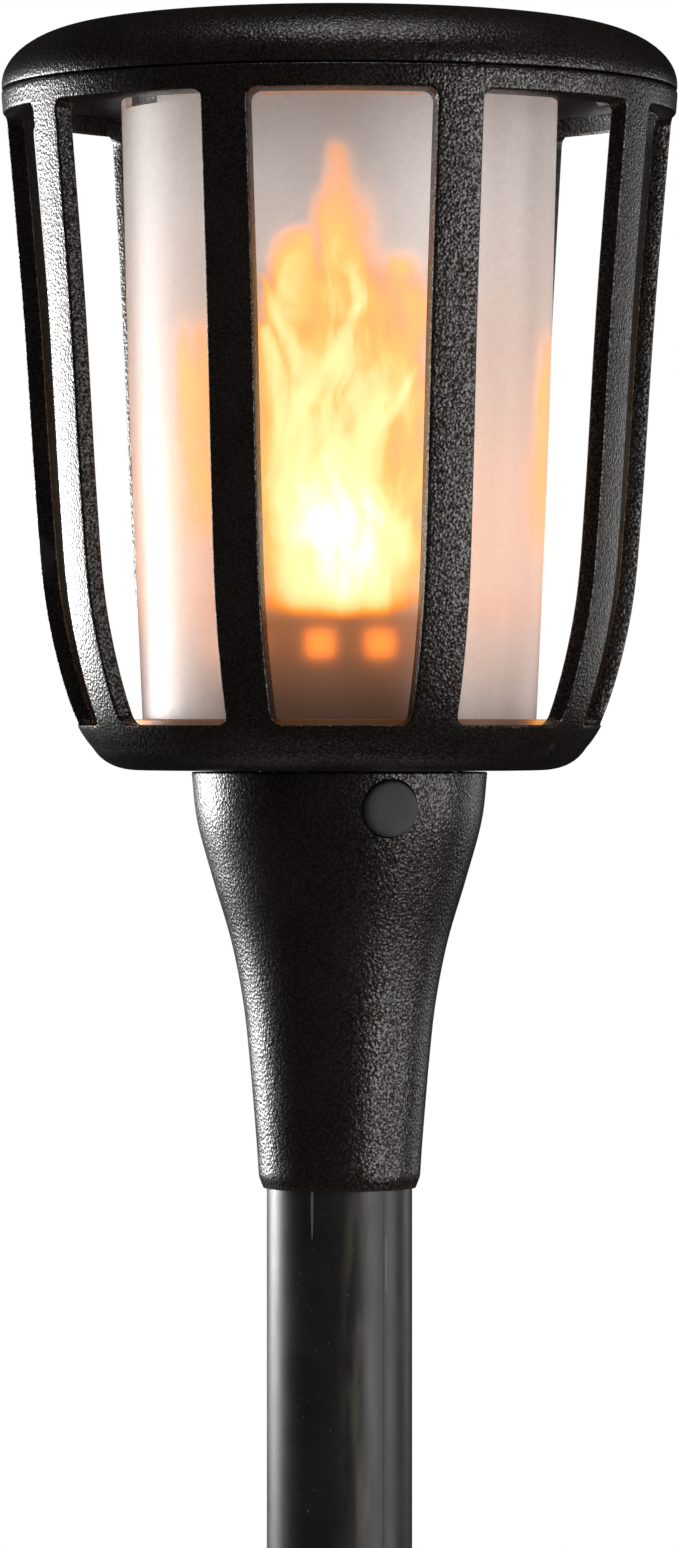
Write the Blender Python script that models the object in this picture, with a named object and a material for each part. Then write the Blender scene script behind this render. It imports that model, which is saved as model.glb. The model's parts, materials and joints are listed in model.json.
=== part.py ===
"""Solar flame torch: ground stake, two-piece pole, neck, slatted cage, diffuser, LED core and lid.

Frame: metres, +Z up. The origin is on the torch's axis at ground level, where the stake's collar
rests on the soil. The push button faces -Y. Pieces that touch keep GAP between them.
"""
from math import asin, cos, pi, radians, sin

import bmesh
import bpy
from mathutils import Matrix, Vector

MM = 0.001
GAP = 0.3 * MM
OVERCUT = 2.0 * MM

# Stake and pole
POLE_R = 14.0 * MM
POLE_SEGMENTS = 24
POLE_WALL = 1.6 * MM
POLE_BORE_R = POLE_R - POLE_WALL
SPIGOT_R = POLE_BORE_R - GAP
SPIGOT_WALL = 2.0 * MM
SPIGOT_LENGTH = 30.0 * MM
COLLAR_R = 24.0 * MM
COLLAR_HEIGHT = 4.0 * MM
FIN_REACH = 12.5 * MM
FIN_THICKNESS = 3.2 * MM
STAKE_DEPTH = 150.0 * MM
TUBE_LENGTH = 219.7 * MM
COUPLER_RING = 3.7 * MM
SOCKET_DEPTH = 40.0 * MM

LOWER_POLE_BOTTOM = COLLAR_HEIGHT + GAP
LOWER_POLE_TOP = LOWER_POLE_BOTTOM + TUBE_LENGTH
RING_BOTTOM = LOWER_POLE_TOP + GAP
RING_TOP = RING_BOTTOM + COUPLER_RING
UPPER_POLE_BOTTOM = RING_TOP + GAP
UPPER_POLE_TOP = UPPER_POLE_BOTTOM + TUBE_LENGTH

# Head. SILL is the level of the cage's window sills, and the head's heights are counted from it.
NECK_BOTTOM = UPPER_POLE_TOP - SOCKET_DEPTH
NECK_HEIGHT = 80.0 * MM
NECK_TOP = NECK_BOTTOM + NECK_HEIGHT
BOWL_BOTTOM = NECK_TOP + GAP
SILL = BOWL_BOTTOM + 8.7 * MM
NECK_WALL = 2.0 * MM
NECK_FLOOR = 2.0 * MM

RIM_R = 65.0 * MM
RIM_SEGMENTS = 45
CAGE_WALL = 3.4 * MM
FLOOR_THICKNESS = 2.4 * MM
WINDOW_HEIGHT = 117.4 * MM
WINDOW_CORNER = 2.0 * MM
CAGE_HEIGHT = 121.7 * MM
SLAT_COUNT = 9
SLAT_WIDTH = 9.0 * MM
FLOOR_HOLE_R = 16.0 * MM
FLANGE_THICKNESS = 2.4 * MM
FLANGE_R = 35.2 * MM

LID_BOTTOM = SILL + CAGE_HEIGHT + GAP
LID_BAND = 1.0 * MM
LID_SHOULDER = 11.25 * MM
LID_FLAT_R = 46.0 * MM
LID_TOP = LID_BOTTOM + LID_BAND + LID_SHOULDER
LID_WALL = 2.4 * MM
RECESS_R = LID_FLAT_R - 1.0 * MM
RECESS_FLOOR = LID_TOP - 2.9 * MM
RECESS_LEDGE = 4.0 * MM
GASKET_BORE_R = 42.0 * MM
GASKET_THICKNESS = 0.5 * MM
PANEL_THICKNESS = 0.8 * MM
PANEL_SEGMENTS = 36

DIFFUSER_BOTTOM = SILL - 6.0 * MM
DIFFUSER_TOP = SILL + 120.0 * MM
DIFFUSER_BOTTOM_R = 37.6 * MM
DIFFUSER_MIDDLE_R = 40.3 * MM
DIFFUSER_TOP_R = 42.0 * MM
DIFFUSER_WALL = 1.8 * MM
NOTCH_DEPTH = 2.2 * MM
NOTCH_SPAN = 21.0
LUG_SPAN = 20.0
GROOVE_DEPTH = 1.0 * MM
LID_TWIST = 15.0
LUG_ANGLES = (3.5, 183.5)
LID_PLATE_BOTTOM = DIFFUSER_TOP + GAP
LID_PLATE_TOP = LID_PLATE_BOTTOM + 2.2 * MM

CORE_R = 21.0 * MM
CARRIER_R = 20.2 * MM
CARRIER_BORE_R = 18.8 * MM
CARRIER_BOTTOM = SILL + 8.0 * MM
CARRIER_TOP = SILL + 84.0 * MM
CORE_CAP_THICKNESS = 2.4 * MM
LED_COLUMNS = 12
LED_ROWS = 8
LED_SIZE = 5.0 * MM
LED_HEIGHT = 1.4 * MM
LED_FIRST_ROW = 15.4 * MM
LED_ROW_PITCH = 9.2 * MM

BATTERY_R = 9.1 * MM
BATTERY_LENGTH = 50.0 * MM
BATTERY_BOTTOM = SILL - 2.0 * MM
PAD_HEIGHT = 10.0 * MM
PAD_BOTTOMS = (SILL + 14.0 * MM, SILL + 36.0 * MM)

PIN_CIRCLE_R = 21.5 * MM
PIN_ANGLES = (90.0, 210.0, 330.0)
BOSS_R = 3.4 * MM
BOSS_DEPTH = 16.0 * MM
BOSS_HOLE_DEPTH = 13.0 * MM
LID_SCREW_CIRCLE_R = 52.5 * MM
SCREW_R = 1.5 * MM
SCREW_SEGMENTS = 10

BUTTON_HEIGHT = SILL - 15.8 * MM
BUTTON_R = 5.4 * MM
BUTTON_TRAVEL = 0.8 * MM
PLUNGER_TRAVEL = 0.4 * MM
PRESSED_CLEARANCE = 0.2 * MM
BUTTON_FACE_Y = -28.9 * MM
NUB_BACK_Y = -20.7 * MM
BOARD_FRONT_Y = -15.0 * MM
BOARD_THICKNESS = 1.6 * MM
BOARD_BACK_Y = BOARD_FRONT_Y + BOARD_THICKNESS
BOARD_HALF_WIDTH = 9.5 * MM
BOARD_BOTTOM = BUTTON_HEIGHT - 20.0 * MM
BOARD_TOP = BUTTON_HEIGHT + 5.0 * MM
BOARD_SCREW_X = 6.5 * MM
BOARD_SCREW_HEIGHT = BUTTON_HEIGHT - 9.5 * MM
BOARD_HOLE_R = 1.5 * MM
SWITCH_HALF_WIDTH = 3.0 * MM
SWITCH_DEPTH = 3.0 * MM
PLUNGER_R = 1.4 * MM
LEAD_CHANNEL_R = 13.6 * MM
LEAD_HOLE_R = 12.9 * MM
LEAD_SIDE = 270.0
PLUG_R = 2.6 * MM
SOCKET_R = 4.5 * MM
SOCKET_LENGTH = 10.0 * MM
PLUG_ENGAGEMENT = 7.0 * MM
SOCKET_SEAT = CARRIER_TOP + GAP + CORE_CAP_THICKNESS + GAP


def remove_scene_objects():
    for obj in list(bpy.data.objects):
        bpy.data.objects.remove(obj)


def material(name, colour, roughness, metallic=0.0, transmission=0.0):
    mat = bpy.data.materials.get(name)
    if mat is not None:
        return mat
    mat = bpy.data.materials.new(name)
    mat.use_nodes = True
    shader = mat.node_tree.nodes["Principled BSDF"]
    shader.inputs["Base Color"].default_value = (*colour, 1.0)
    shader.inputs["Roughness"].default_value = roughness
    shader.inputs["Metallic"].default_value = metallic
    shader.inputs["Transmission Weight"].default_value = transmission
    mat.diffuse_color = (*colour, 1.0)
    return mat


def grained_black():
    return material("grained_black_abs", (0.018, 0.017, 0.016), 0.45)


def smooth_black():
    return material("smooth_black_abs", (0.020, 0.020, 0.021), 0.28)


def add_object(name, bm, mat, smooth=True):
    """Finish a bmesh as a named object, with its faces pointing out."""
    bmesh.ops.remove_doubles(bm, verts=bm.verts, dist=1e-6)
    bmesh.ops.recalc_face_normals(bm, faces=bm.faces)
    mesh = bpy.data.meshes.new(name)
    bm.to_mesh(mesh)
    bm.free()
    obj = bpy.data.objects.new(name, mesh)
    bpy.context.scene.collection.objects.link(obj)
    if mat is not None:
        mesh.materials.append(mat)
    if smooth:
        mesh.shade_smooth()
        mesh.set_sharp_from_angle(angle=radians(35))
    return obj


def combine(target, tool, operation):
    """Boolean the tool into the target. The tool stays as a hidden guide."""
    modifier = target.modifiers.new(tool.name, "BOOLEAN")
    modifier.operation = operation
    modifier.object = tool
    tool.hide_render = True
    tool.display_type = "WIRE"


def parent_to(child, parent):
    child.parent = parent
    child.matrix_parent_inverse = parent.matrix_world.inverted()


def smooth_curve(points, steps):
    """Catmull-Rom curve through 2-D points, with the given number of steps in each span."""
    first = (2 * points[0][0] - points[1][0], 2 * points[0][1] - points[1][1])
    last = (2 * points[-1][0] - points[-2][0], 2 * points[-1][1] - points[-2][1])
    ends = [first, *points, last]
    curve = []
    for i in range(1, len(ends) - 2):
        a, b, c, d = (Vector(p) for p in ends[i - 1:i + 3])
        for step in range(steps):
            t = step / steps
            curve.append(0.5 * (2 * b + (c - a) * t + (2 * a - 5 * b + 4 * c - d) * t ** 2
                                + (3 * b - a - 3 * c + d) * t ** 3))
    curve.append(Vector(points[-1]))
    return [(p.x, p.y) for p in curve]


def arc(centre, radii, start, end, steps):
    """Points on an ellipse's arc, angles in degrees."""
    points = []
    for i in range(steps + 1):
        angle = radians(start + (end - start) * i / steps)
        points.append((centre[0] + radii[0] * cos(angle), centre[1] + radii[1] * sin(angle)))
    return points


def lathe(name, profile, segments, mat, closed=True):
    """Turn a profile of (radius, height) points about Z. An open profile ends on the axis."""
    bm = bmesh.new()
    verts = [bm.verts.new((r, 0.0, z)) for r, z in profile]
    edges = [bm.edges.new(pair) for pair in zip(verts, verts[1:])]
    if closed:
        edges.append(bm.edges.new((verts[-1], verts[0])))
    bmesh.ops.spin(bm, geom=verts + edges, cent=(0, 0, 0), axis=(0, 0, 1), angle=2 * pi,
                   steps=segments, use_merge=True)
    return add_object(name, bm, mat)


def turned_along(name, profile, segments, mat, origin, direction):
    """A turned piece whose own +Z points along the given direction from its origin."""
    obj = lathe(name, profile, segments, mat, closed=False)
    turn = Vector((0, 0, 1)).rotation_difference(Vector(direction)).to_matrix().to_4x4()
    obj.matrix_world = Matrix.Translation(origin) @ turn
    return obj


def rod_profile(radius, low, high):
    return [(0.0, low), (radius, low), (radius, high), (0.0, high)]


def add_rod(bm, centre, radius, low, high, segments):
    placement = Matrix.Translation((centre[0], centre[1], (low + high) / 2))
    bmesh.ops.create_cone(bm, cap_ends=True, segments=segments, radius1=radius, radius2=radius,
                          depth=high - low, matrix=placement)


def add_box(bm, low, high):
    low = Vector(low)
    high = Vector(high)
    size = high - low
    placement = Matrix.Translation((low + high) / 2) @ Matrix.Diagonal((*size, 1.0))
    bmesh.ops.create_cube(bm, size=1.0, matrix=placement)


def add_sector(bm, radii, angles, heights, steps=3):
    """Part of a ring, between two radii, two angles in degrees and two heights."""
    low_ring = []
    high_ring = []
    arc_angles = [angles[0] + (angles[1] - angles[0]) * i / steps for i in range(steps + 1)]
    outline = [polar(radii[1], a) for a in arc_angles] + [polar(radii[0], a) for a in reversed(arc_angles)]
    for x, y in outline:
        low_ring.append(bm.verts.new((x, y, heights[0])))
        high_ring.append(bm.verts.new((x, y, heights[1])))
    bm.faces.new(low_ring)
    bm.faces.new(high_ring)
    for i in range(len(outline)):
        j = (i + 1) % len(outline)
        bm.faces.new((low_ring[i], low_ring[j], high_ring[j], high_ring[i]))


def polar(radius, degrees):
    return radius * cos(radians(degrees)), radius * sin(radians(degrees))


def rods(name, circle_r, angles, radius, low, high, segments, mat=None):
    """Parallel rods round the axis, as one tool for holes or bosses."""
    bm = bmesh.new()
    for angle in angles:
        add_rod(bm, polar(circle_r, angle), radius, low, high, segments)
    return add_object(name, bm, mat, smooth=False)


# ---------------------------------------------------------------- stake and pole

def make_stake():
    """Four tapered fins under a collar, with a hollow spigot that the pole slides on."""
    spigot_top = COLLAR_HEIGHT + SPIGOT_LENGTH
    inner = SPIGOT_R - SPIGOT_WALL
    profile = [(0.0, 0.0)]
    profile += [(COLLAR_R - 1.0 * MM, 0.0), (COLLAR_R, 1.0 * MM)]
    profile += [(COLLAR_R, COLLAR_HEIGHT - 1.0 * MM), (COLLAR_R - 1.0 * MM, COLLAR_HEIGHT)]
    profile += [(SPIGOT_R, COLLAR_HEIGHT), (SPIGOT_R, spigot_top - 1.5 * MM)]
    profile += [(SPIGOT_R - 1.0 * MM, spigot_top), (inner, spigot_top), (inner, COLLAR_HEIGHT)]
    profile += [(0.0, COLLAR_HEIGHT)]
    stake = lathe("stake", profile, POLE_SEGMENTS, smooth_black(), closed=False)

    bm = bmesh.new()
    half = FIN_THICKNESS / 2
    shoulder = -STAKE_DEPTH * 0.35
    waist = FIN_REACH * 0.8
    tip = 0.6 * MM
    levels = [(0.5 * MM, FIN_REACH), (shoulder, waist), (-STAKE_DEPTH + 8 * MM, half), (-STAKE_DEPTH, tip)]
    previous = None
    for z, reach in levels:
        inside = min(half, reach * 0.999)
        ring = []
        for quarter in range(4):
            turn = Matrix.Rotation(quarter * pi / 2, 3, "Z")
            for corner in ((reach, -inside), (reach, inside), (inside, inside)):
                ring.append(bm.verts.new(turn @ Vector((corner[0], corner[1], z))))
        if previous is None:
            bm.faces.new(ring)
        else:
            for i, vert in enumerate(ring):
                j = (i + 1) % len(ring)
                bm.faces.new((previous[i], previous[j], ring[j], vert))
        previous = ring
    bm.faces.new(previous)
    fins = add_object("stake_fins", bm, None, smooth=False)
    combine(stake, fins, "UNION")
    return stake


def make_tube(name, low, high):
    edge = 0.4 * MM
    profile = [(POLE_BORE_R, low), (POLE_R - edge, low), (POLE_R, low + edge)]
    profile += [(POLE_R, high - edge), (POLE_R - edge, high), (POLE_BORE_R, high)]
    return lathe(name, profile, POLE_SEGMENTS, smooth_black())


def make_coupler():
    """A ring as wide as the pole, with a hollow spigot up and down."""
    low = RING_BOTTOM - SPIGOT_LENGTH
    high = RING_TOP + SPIGOT_LENGTH
    inner = SPIGOT_R - SPIGOT_WALL
    tip = 1.0 * MM
    profile = [(inner, low), (SPIGOT_R - tip, low), (SPIGOT_R, low + tip), (SPIGOT_R, RING_BOTTOM)]
    profile += [(POLE_R, RING_BOTTOM), (POLE_R, RING_TOP), (SPIGOT_R, RING_TOP)]
    profile += [(SPIGOT_R, high - tip), (SPIGOT_R - tip, high), (inner, high)]
    return lathe("pole_coupler", profile, POLE_SEGMENTS, smooth_black())


# ---------------------------------------------------------------- neck

def neck_outline(steps):
    """The funnel's outer side, from its top down to its lower edge, rounded at the foot."""
    sill = SILL / MM
    funnel = [(28.5, -9.0), (27.4, -18.5), (24.3, -29.9), (20.9, -41.4), (18.6, -53.0)]
    funnel += [(17.3, -64.5), (16.0, -79.9), (15.6, -86.0)]
    points = smooth_curve([(r * MM, (sill + z) * MM) for r, z in funnel], steps)
    foot_r, foot_z = points[-1]
    points[0] = (points[0][0], NECK_TOP)
    return points + [(foot_r - 0.3 * MM, foot_z - 1.8 * MM), (foot_r - 0.9 * MM, NECK_BOTTOM)]


def make_neck():
    """Funnel with the pole's socket below, a floor, and a cavity above for the board."""
    outer = neck_outline(2)
    socket_r = POLE_R + GAP
    socket_top = UPPER_POLE_TOP + GAP
    cavity_floor = socket_top + NECK_FLOOR
    inner = [(r - NECK_WALL, z) for r, z in reversed(neck_outline(1)) if z > cavity_floor + 1.0 * MM]
    profile = [(0.0, socket_top), (socket_r, socket_top), (socket_r, NECK_BOTTOM)]
    profile += list(reversed(outer))
    profile += list(reversed(inner))
    profile += [(inner[0][0] - 0.4 * MM, cavity_floor), (0.0, cavity_floor)]
    neck = lathe("neck_housing", profile, 32, grained_black(), closed=False)

    bosses = rods("neck_bosses", PIN_CIRCLE_R, PIN_ANGLES, BOSS_R,
                  NECK_TOP - BOSS_DEPTH, NECK_TOP - 0.4 * MM, SCREW_SEGMENTS)
    combine(neck, bosses, "UNION")

    bm = bmesh.new()
    post_front = BOARD_BACK_Y + GAP
    post_half_width = 2.2 * MM
    post_depth = 6.0 * MM
    post_top = NECK_TOP - 20.0 * MM
    for x, _ in board_screw_places():
        add_box(bm, (x - post_half_width, post_front, cavity_floor - 1.0 * MM),
                (x + post_half_width, post_front + post_depth, post_top))
    posts = add_object("neck_posts", bm, None, smooth=False)
    combine(neck, posts, "UNION")

    boss_holes = rods("neck_boss_holes", PIN_CIRCLE_R, PIN_ANGLES, SCREW_R + GAP,
                      NECK_TOP - BOSS_HOLE_DEPTH, NECK_TOP + OVERCUT, SCREW_SEGMENTS)
    combine(neck, boss_holes, "DIFFERENCE")

    inside_y = -18.0 * MM
    hole = turned_along("neck_button_hole", rod_profile(BUTTON_R + GAP, 0.0, 20.0 * MM), 24, None,
                        (0, inside_y, BUTTON_HEIGHT), (0, -1, 0))
    combine(neck, hole, "DIFFERENCE")
    combine(neck, board_screw_holes("neck_post_holes", post_front + 1.5 * MM), "DIFFERENCE")
    return neck


def make_button():
    """Rubber cap with a domed face outside, a flange behind the wall and a nub for the switch."""
    rubber = material("button_rubber", (0.055, 0.055, 0.056), 0.75)
    face = -BUTTON_FACE_Y
    nub_back = -NUB_BACK_Y
    nub_r = 1.6 * MM
    flange_r = 6.9 * MM
    flange_front = 24.1 * MM
    flange_back = 23.1 * MM
    profile = [(0.0, nub_back), (nub_r, nub_back), (nub_r, flange_back)]
    profile += [(flange_r, flange_back), (flange_r, flange_front), (BUTTON_R, flange_front)]
    profile += [(BUTTON_R, face - 1.2 * MM), (4.9 * MM, face - 0.45 * MM)]
    profile += [(3.0 * MM, face - 0.1 * MM), (0.0, face)]
    return turned_along("button", profile, 24, rubber, (0, 0, BUTTON_HEIGHT), (0, -1, 0))


def board_screw_places():
    return [(side * BOARD_SCREW_X, BOARD_SCREW_HEIGHT) for side in (-1, 1)]


def board_screw_holes(name, middle_y):
    """Holes along Y for the board's two screws, as one tool."""
    bm = bmesh.new()
    for x, z in board_screw_places():
        placement = Matrix.Translation((x, middle_y, z)) @ Matrix.Rotation(pi / 2, 4, "X")
        bmesh.ops.create_cone(bm, cap_ends=True, segments=SCREW_SEGMENTS, radius1=BOARD_HOLE_R,
                              radius2=BOARD_HOLE_R, depth=8.0 * MM, matrix=placement)
    return add_object(name, bm, None, smooth=False)


def make_control_board():
    """Circuit board standing behind the button, with its driver chip and a lead connector."""
    green = material("circuit_board", (0.02, 0.12, 0.05), 0.4)
    bm = bmesh.new()
    add_box(bm, (-BOARD_HALF_WIDTH, BOARD_FRONT_Y, BOARD_BOTTOM), (BOARD_HALF_WIDTH, BOARD_BACK_Y, BOARD_TOP))
    board = add_object("control_board", bm, green, smooth=False)
    sunk = 0.5 * MM
    bm = bmesh.new()
    add_box(bm, (-2.5 * MM, BOARD_FRONT_Y - 1.6 * MM, BOARD_BOTTOM + 3.0 * MM),
            (2.5 * MM, BOARD_FRONT_Y + sunk, BOARD_BOTTOM + 7.0 * MM))
    add_box(bm, (-3.5 * MM, BOARD_BACK_Y - sunk, BOARD_TOP - 7.0 * MM),
            (3.5 * MM, BOARD_BACK_Y + 4.0 * MM, BOARD_TOP - 2.0 * MM))
    blocks = add_object("board_blocks", bm, None, smooth=False)
    combine(board, blocks, "UNION")
    combine(board, board_screw_holes("board_holes", BOARD_FRONT_Y), "DIFFERENCE")
    return board


def make_switch():
    """Momentary switch on the board: a square body with a round plunger in it."""
    body_mat = material("switch_body", (0.03, 0.03, 0.03), 0.5)
    metal = material("bright_metal", (0.62, 0.61, 0.58), 0.3, metallic=1.0)
    back = BOARD_FRONT_Y - GAP
    front = back - SWITCH_DEPTH
    bm = bmesh.new()
    add_box(bm, (-SWITCH_HALF_WIDTH, front, BUTTON_HEIGHT - SWITCH_HALF_WIDTH),
            (SWITCH_HALF_WIDTH, back, BUTTON_HEIGHT + SWITCH_HALF_WIDTH))
    body = add_object("tact_switch", bm, body_mat, smooth=False)
    well_floor = back - 0.8 * MM
    hole = turned_along("switch_hole", rod_profile(PLUNGER_R + GAP, 0.0, 2 * SWITCH_DEPTH), 12, None,
                        (0, well_floor, BUTTON_HEIGHT), (0, -1, 0))
    combine(body, hole, "DIFFERENCE")
    foot = well_floor - PLUNGER_TRAVEL - GAP
    tip = NUB_BACK_Y + BUTTON_TRAVEL - PLUNGER_TRAVEL + PRESSED_CLEARANCE
    plunger = turned_along("switch_plunger", rod_profile(PLUNGER_R, 0.0, foot - tip), 12, metal,
                           (0, foot, BUTTON_HEIGHT), (0, -1, 0))
    return body, plunger


def make_screw(name, place, direction, head_r, head_height, shank_r, length):
    """Pan-head screw. The place is under its head, and it points along the direction."""
    steel = material("screw_steel", (0.35, 0.35, 0.36), 0.35, metallic=1.0)
    profile = [(0.0, -head_height), (head_r * 0.8, -head_height), (head_r, -head_height * 0.6)]
    profile += [(head_r, 0.0), (shank_r, 0.0), (shank_r, length), (0.0, length)]
    return turned_along(name, profile, SCREW_SEGMENTS, steel, place, direction)


# ---------------------------------------------------------------- cage

def cage_outline(steps):
    """The cage's outer side, from the rim down to the flat under the bowl."""
    side = [(65.0, 121.7), (64.75, 117.4), (61.5, 79.9), (59.0, 43.0), (56.9, 22.1), (52.5, 4.8)]
    side += [(47.5, -4.4), (40.5, -8.7)]
    return smooth_curve([(r * MM, SILL + z * MM) for r, z in side], steps)


def make_window_cutter():
    """Nine wedges between the slats. Each slat's two sides are parallel, and the corners are round."""
    pitch = 2 * pi / SLAT_COUNT
    reach_in = 45.0 * MM
    reach_out = 75.0 * MM
    bm = bmesh.new()
    for window in range(SLAT_COUNT):
        middle = -pi / 2 + (window + 0.5) * pitch
        corners = []
        for reach in (reach_in, reach_out):
            for side in (-1, 1):
                edge = side * (pitch / 2 - asin(SLAT_WIDTH / 2 / reach))
                corners.append((reach * cos(middle + edge), reach * sin(middle + edge)))
        inner_a, inner_b, outer_a, outer_b = corners
        plan = (inner_a, outer_a, outer_b, inner_b)
        low = [bm.verts.new((x, y, SILL)) for x, y in plan]
        high = [bm.verts.new((x, y, SILL + WINDOW_HEIGHT)) for x, y in plan]
        bm.faces.new(low)
        bm.faces.new(high)
        for i in range(4):
            j = (i + 1) % 4
            bm.faces.new((low[i], low[j], high[j], high[i]))
        radial = [bm.edges.get((level[i], level[i + 1])) for level in (low, high) for i in (0, 2)]
        bmesh.ops.bevel(bm, geom=radial, offset=WINDOW_CORNER, segments=2, profile=0.5, affect="EDGES")
    return add_object("window_cutter", bm, None, smooth=False)


def make_cage():
    """One moulding: rim, slats and bowl."""
    outer = cage_outline(2)
    floor_top = BOWL_BOTTOM + FLOOR_THICKNESS
    inner = [(r - CAGE_WALL, z) for r, z in cage_outline(1) if z > floor_top + 5.0 * MM]
    profile = outer + [(FLOOR_HOLE_R, BOWL_BOTTOM), (FLOOR_HOLE_R, floor_top), (38.5 * MM, floor_top)]
    profile += [(44.5 * MM, floor_top + 2.2 * MM)]
    profile += list(reversed(inner))
    cage = lathe("cage", profile, RIM_SEGMENTS, grained_black())
    combine(cage, make_window_cutter(), "DIFFERENCE")
    floor_holes = rods("floor_holes", PIN_CIRCLE_R, PIN_ANGLES, SCREW_R + GAP,
                       BOWL_BOTTOM - OVERCUT, floor_top + OVERCUT, SCREW_SEGMENTS)
    combine(cage, floor_holes, "DIFFERENCE")
    return cage


# ---------------------------------------------------------------- LED core

def make_core_base():
    """Foot of the core: a flange that seats the diffuser, and a hub that holds cell and carrier."""
    low = BOWL_BOTTOM + FLOOR_THICKNESS + GAP
    flange_top = low + FLANGE_THICKNESS
    bore_r = 4.0 * MM
    hub_r = 24.0 * MM
    cup_r = 16.0 * MM
    ledge = CARRIER_BOTTOM - GAP
    spigot_r = CARRIER_BORE_R - GAP
    spigot_top = ledge + 5.0 * MM
    profile = [(bore_r, low), (FLANGE_R, low), (FLANGE_R, flange_top), (hub_r + 1.0 * MM, flange_top)]
    profile += [(hub_r, flange_top + 1.0 * MM), (hub_r, ledge), (spigot_r, ledge)]
    profile += [(spigot_r, spigot_top), (cup_r, spigot_top), (cup_r, flange_top), (bore_r, flange_top)]
    base = lathe("core_base", profile, 30, material("core_black", (0.03, 0.028, 0.027), 0.6))
    holes = rods("core_base_holes", PIN_CIRCLE_R, PIN_ANGLES, SCREW_R + GAP, low - OVERCUT,
                 flange_top + 5 * OVERCUT, SCREW_SEGMENTS)
    combine(base, holes, "DIFFERENCE")
    pockets = rods("core_base_pockets", PIN_CIRCLE_R, PIN_ANGLES, 3.6 * MM, flange_top,
                   spigot_top + OVERCUT, 12)
    combine(base, pockets, "DIFFERENCE")
    lead_hole = rods("core_base_lead_hole", LEAD_HOLE_R, (LEAD_SIDE,), 2.0 * MM, low - OVERCUT,
                     flange_top + OVERCUT, 10)
    combine(base, lead_hole, "DIFFERENCE")
    return base


def make_carrier():
    profile = [(CARRIER_BORE_R, CARRIER_BOTTOM), (CARRIER_R, CARRIER_BOTTOM)]
    profile += [(CARRIER_R, CARRIER_TOP), (CARRIER_BORE_R, CARRIER_TOP)]
    return lathe("led_carrier", profile, 30, material("carrier_white", (0.75, 0.74, 0.70), 0.5))


def make_led_array():
    """Flexible board round the carrier, with square LEDs that stand out of it in rows and columns."""
    board_inner = CARRIER_R + GAP
    board_outer = CORE_R
    rows = []
    for row in range(LED_ROWS):
        middle = SILL + LED_FIRST_ROW + row * LED_ROW_PITCH
        rows += [middle - LED_SIZE / 2, middle + LED_SIZE / 2]
    margin = 1.0 * MM
    levels = [CARRIER_BOTTOM + margin, *rows, CARRIER_TOP - margin]
    half_led = asin(LED_SIZE / 2 / board_outer)
    angles = []
    for column in range(LED_COLUMNS):
        middle = -pi / 2 + column * 2 * pi / LED_COLUMNS
        angles += [middle - half_led, middle + half_led]
    bm = bmesh.new()

    def ring(radius, z):
        return [bm.verts.new((radius * cos(a), radius * sin(a), z)) for a in angles]

    outer = [ring(board_outer, z) for z in levels]
    inner = [ring(board_inner, z) for z in (levels[0], levels[-1])]
    count = len(angles)
    led_faces = []
    for level in range(len(levels) - 1):
        for i in range(count):
            j = (i + 1) % count
            face = bm.faces.new((outer[level][i], outer[level][j], outer[level + 1][j], outer[level + 1][i]))
            if i % 2 == 0 and level % 2 == 1:
                led_faces.append(face)
    for i in range(count):
        j = (i + 1) % count
        bm.faces.new((inner[0][i], inner[1][i], inner[1][j], inner[0][j]))
        bm.faces.new((outer[0][i], inner[0][i], inner[0][j], outer[0][j]))
        bm.faces.new((outer[-1][i], outer[-1][j], inner[1][j], inner[1][i]))
    chips = bmesh.ops.extrude_discrete_faces(bm, faces=led_faces)["faces"]
    for face in chips:
        out = face.calc_center_median()
        out = Vector((out.x, out.y, 0.0)).normalized()
        bmesh.ops.translate(bm, verts=face.verts, vec=out * LED_HEIGHT)
    return add_object("led_array", bm, material("led_board", (0.80, 0.72, 0.55), 0.45), smooth=False)


def make_core_cap():
    """Disc that closes the carrier and holds the contact socket on the axis."""
    low = CARRIER_TOP - 6.0 * MM
    seat = CARRIER_TOP + GAP
    high = seat + CORE_CAP_THICKNESS
    edge = 0.8 * MM
    socket_clear = SOCKET_R + GAP
    collar_inner = 16.5 * MM
    collar_outer = CARRIER_BORE_R - GAP
    profile = [(socket_clear, seat), (collar_inner, seat), (collar_inner, low), (collar_outer, low)]
    profile += [(collar_outer, seat), (CORE_R, seat), (CORE_R, high - edge)]
    profile += [(CORE_R - edge, high), (socket_clear, high)]
    return lathe("core_cap", profile, 30, material("core_black", (0.03, 0.028, 0.027), 0.6))


def make_lead_socket():
    """Coaxial contact socket, hanging in the core cap by its flange."""
    low = SOCKET_SEAT - SOCKET_LENGTH
    high = SOCKET_SEAT + 1.5 * MM
    bore = PLUG_R + GAP
    bore_floor = low + 2.0 * MM
    flange_r = SOCKET_R + 2.0 * MM
    profile = [(0.0, low), (SOCKET_R, low), (SOCKET_R, SOCKET_SEAT), (flange_r, SOCKET_SEAT)]
    profile += [(flange_r, high), (bore, high), (bore, bore_floor), (0.0, bore_floor)]
    socket_mat = material("connector_black", (0.02, 0.02, 0.02), 0.35)
    return lathe("lead_socket", profile, 16, socket_mat, closed=False)


def make_battery():
    """Cylindrical cell with a raised positive end."""
    low = BATTERY_BOTTOM
    high = low + BATTERY_LENGTH
    edge = 0.8 * MM
    button_r = 3.0 * MM
    button_top = high + 1.4 * MM
    profile = [(0.0, low), (BATTERY_R - edge, low), (BATTERY_R, low + edge), (BATTERY_R, high - edge)]
    profile += [(BATTERY_R - edge, high), (button_r, high), (button_r, button_top), (0.0, button_top)]
    return lathe("battery", profile, 20, material("cell_wrap", (0.05, 0.16, 0.42), 0.35), closed=False)


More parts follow.
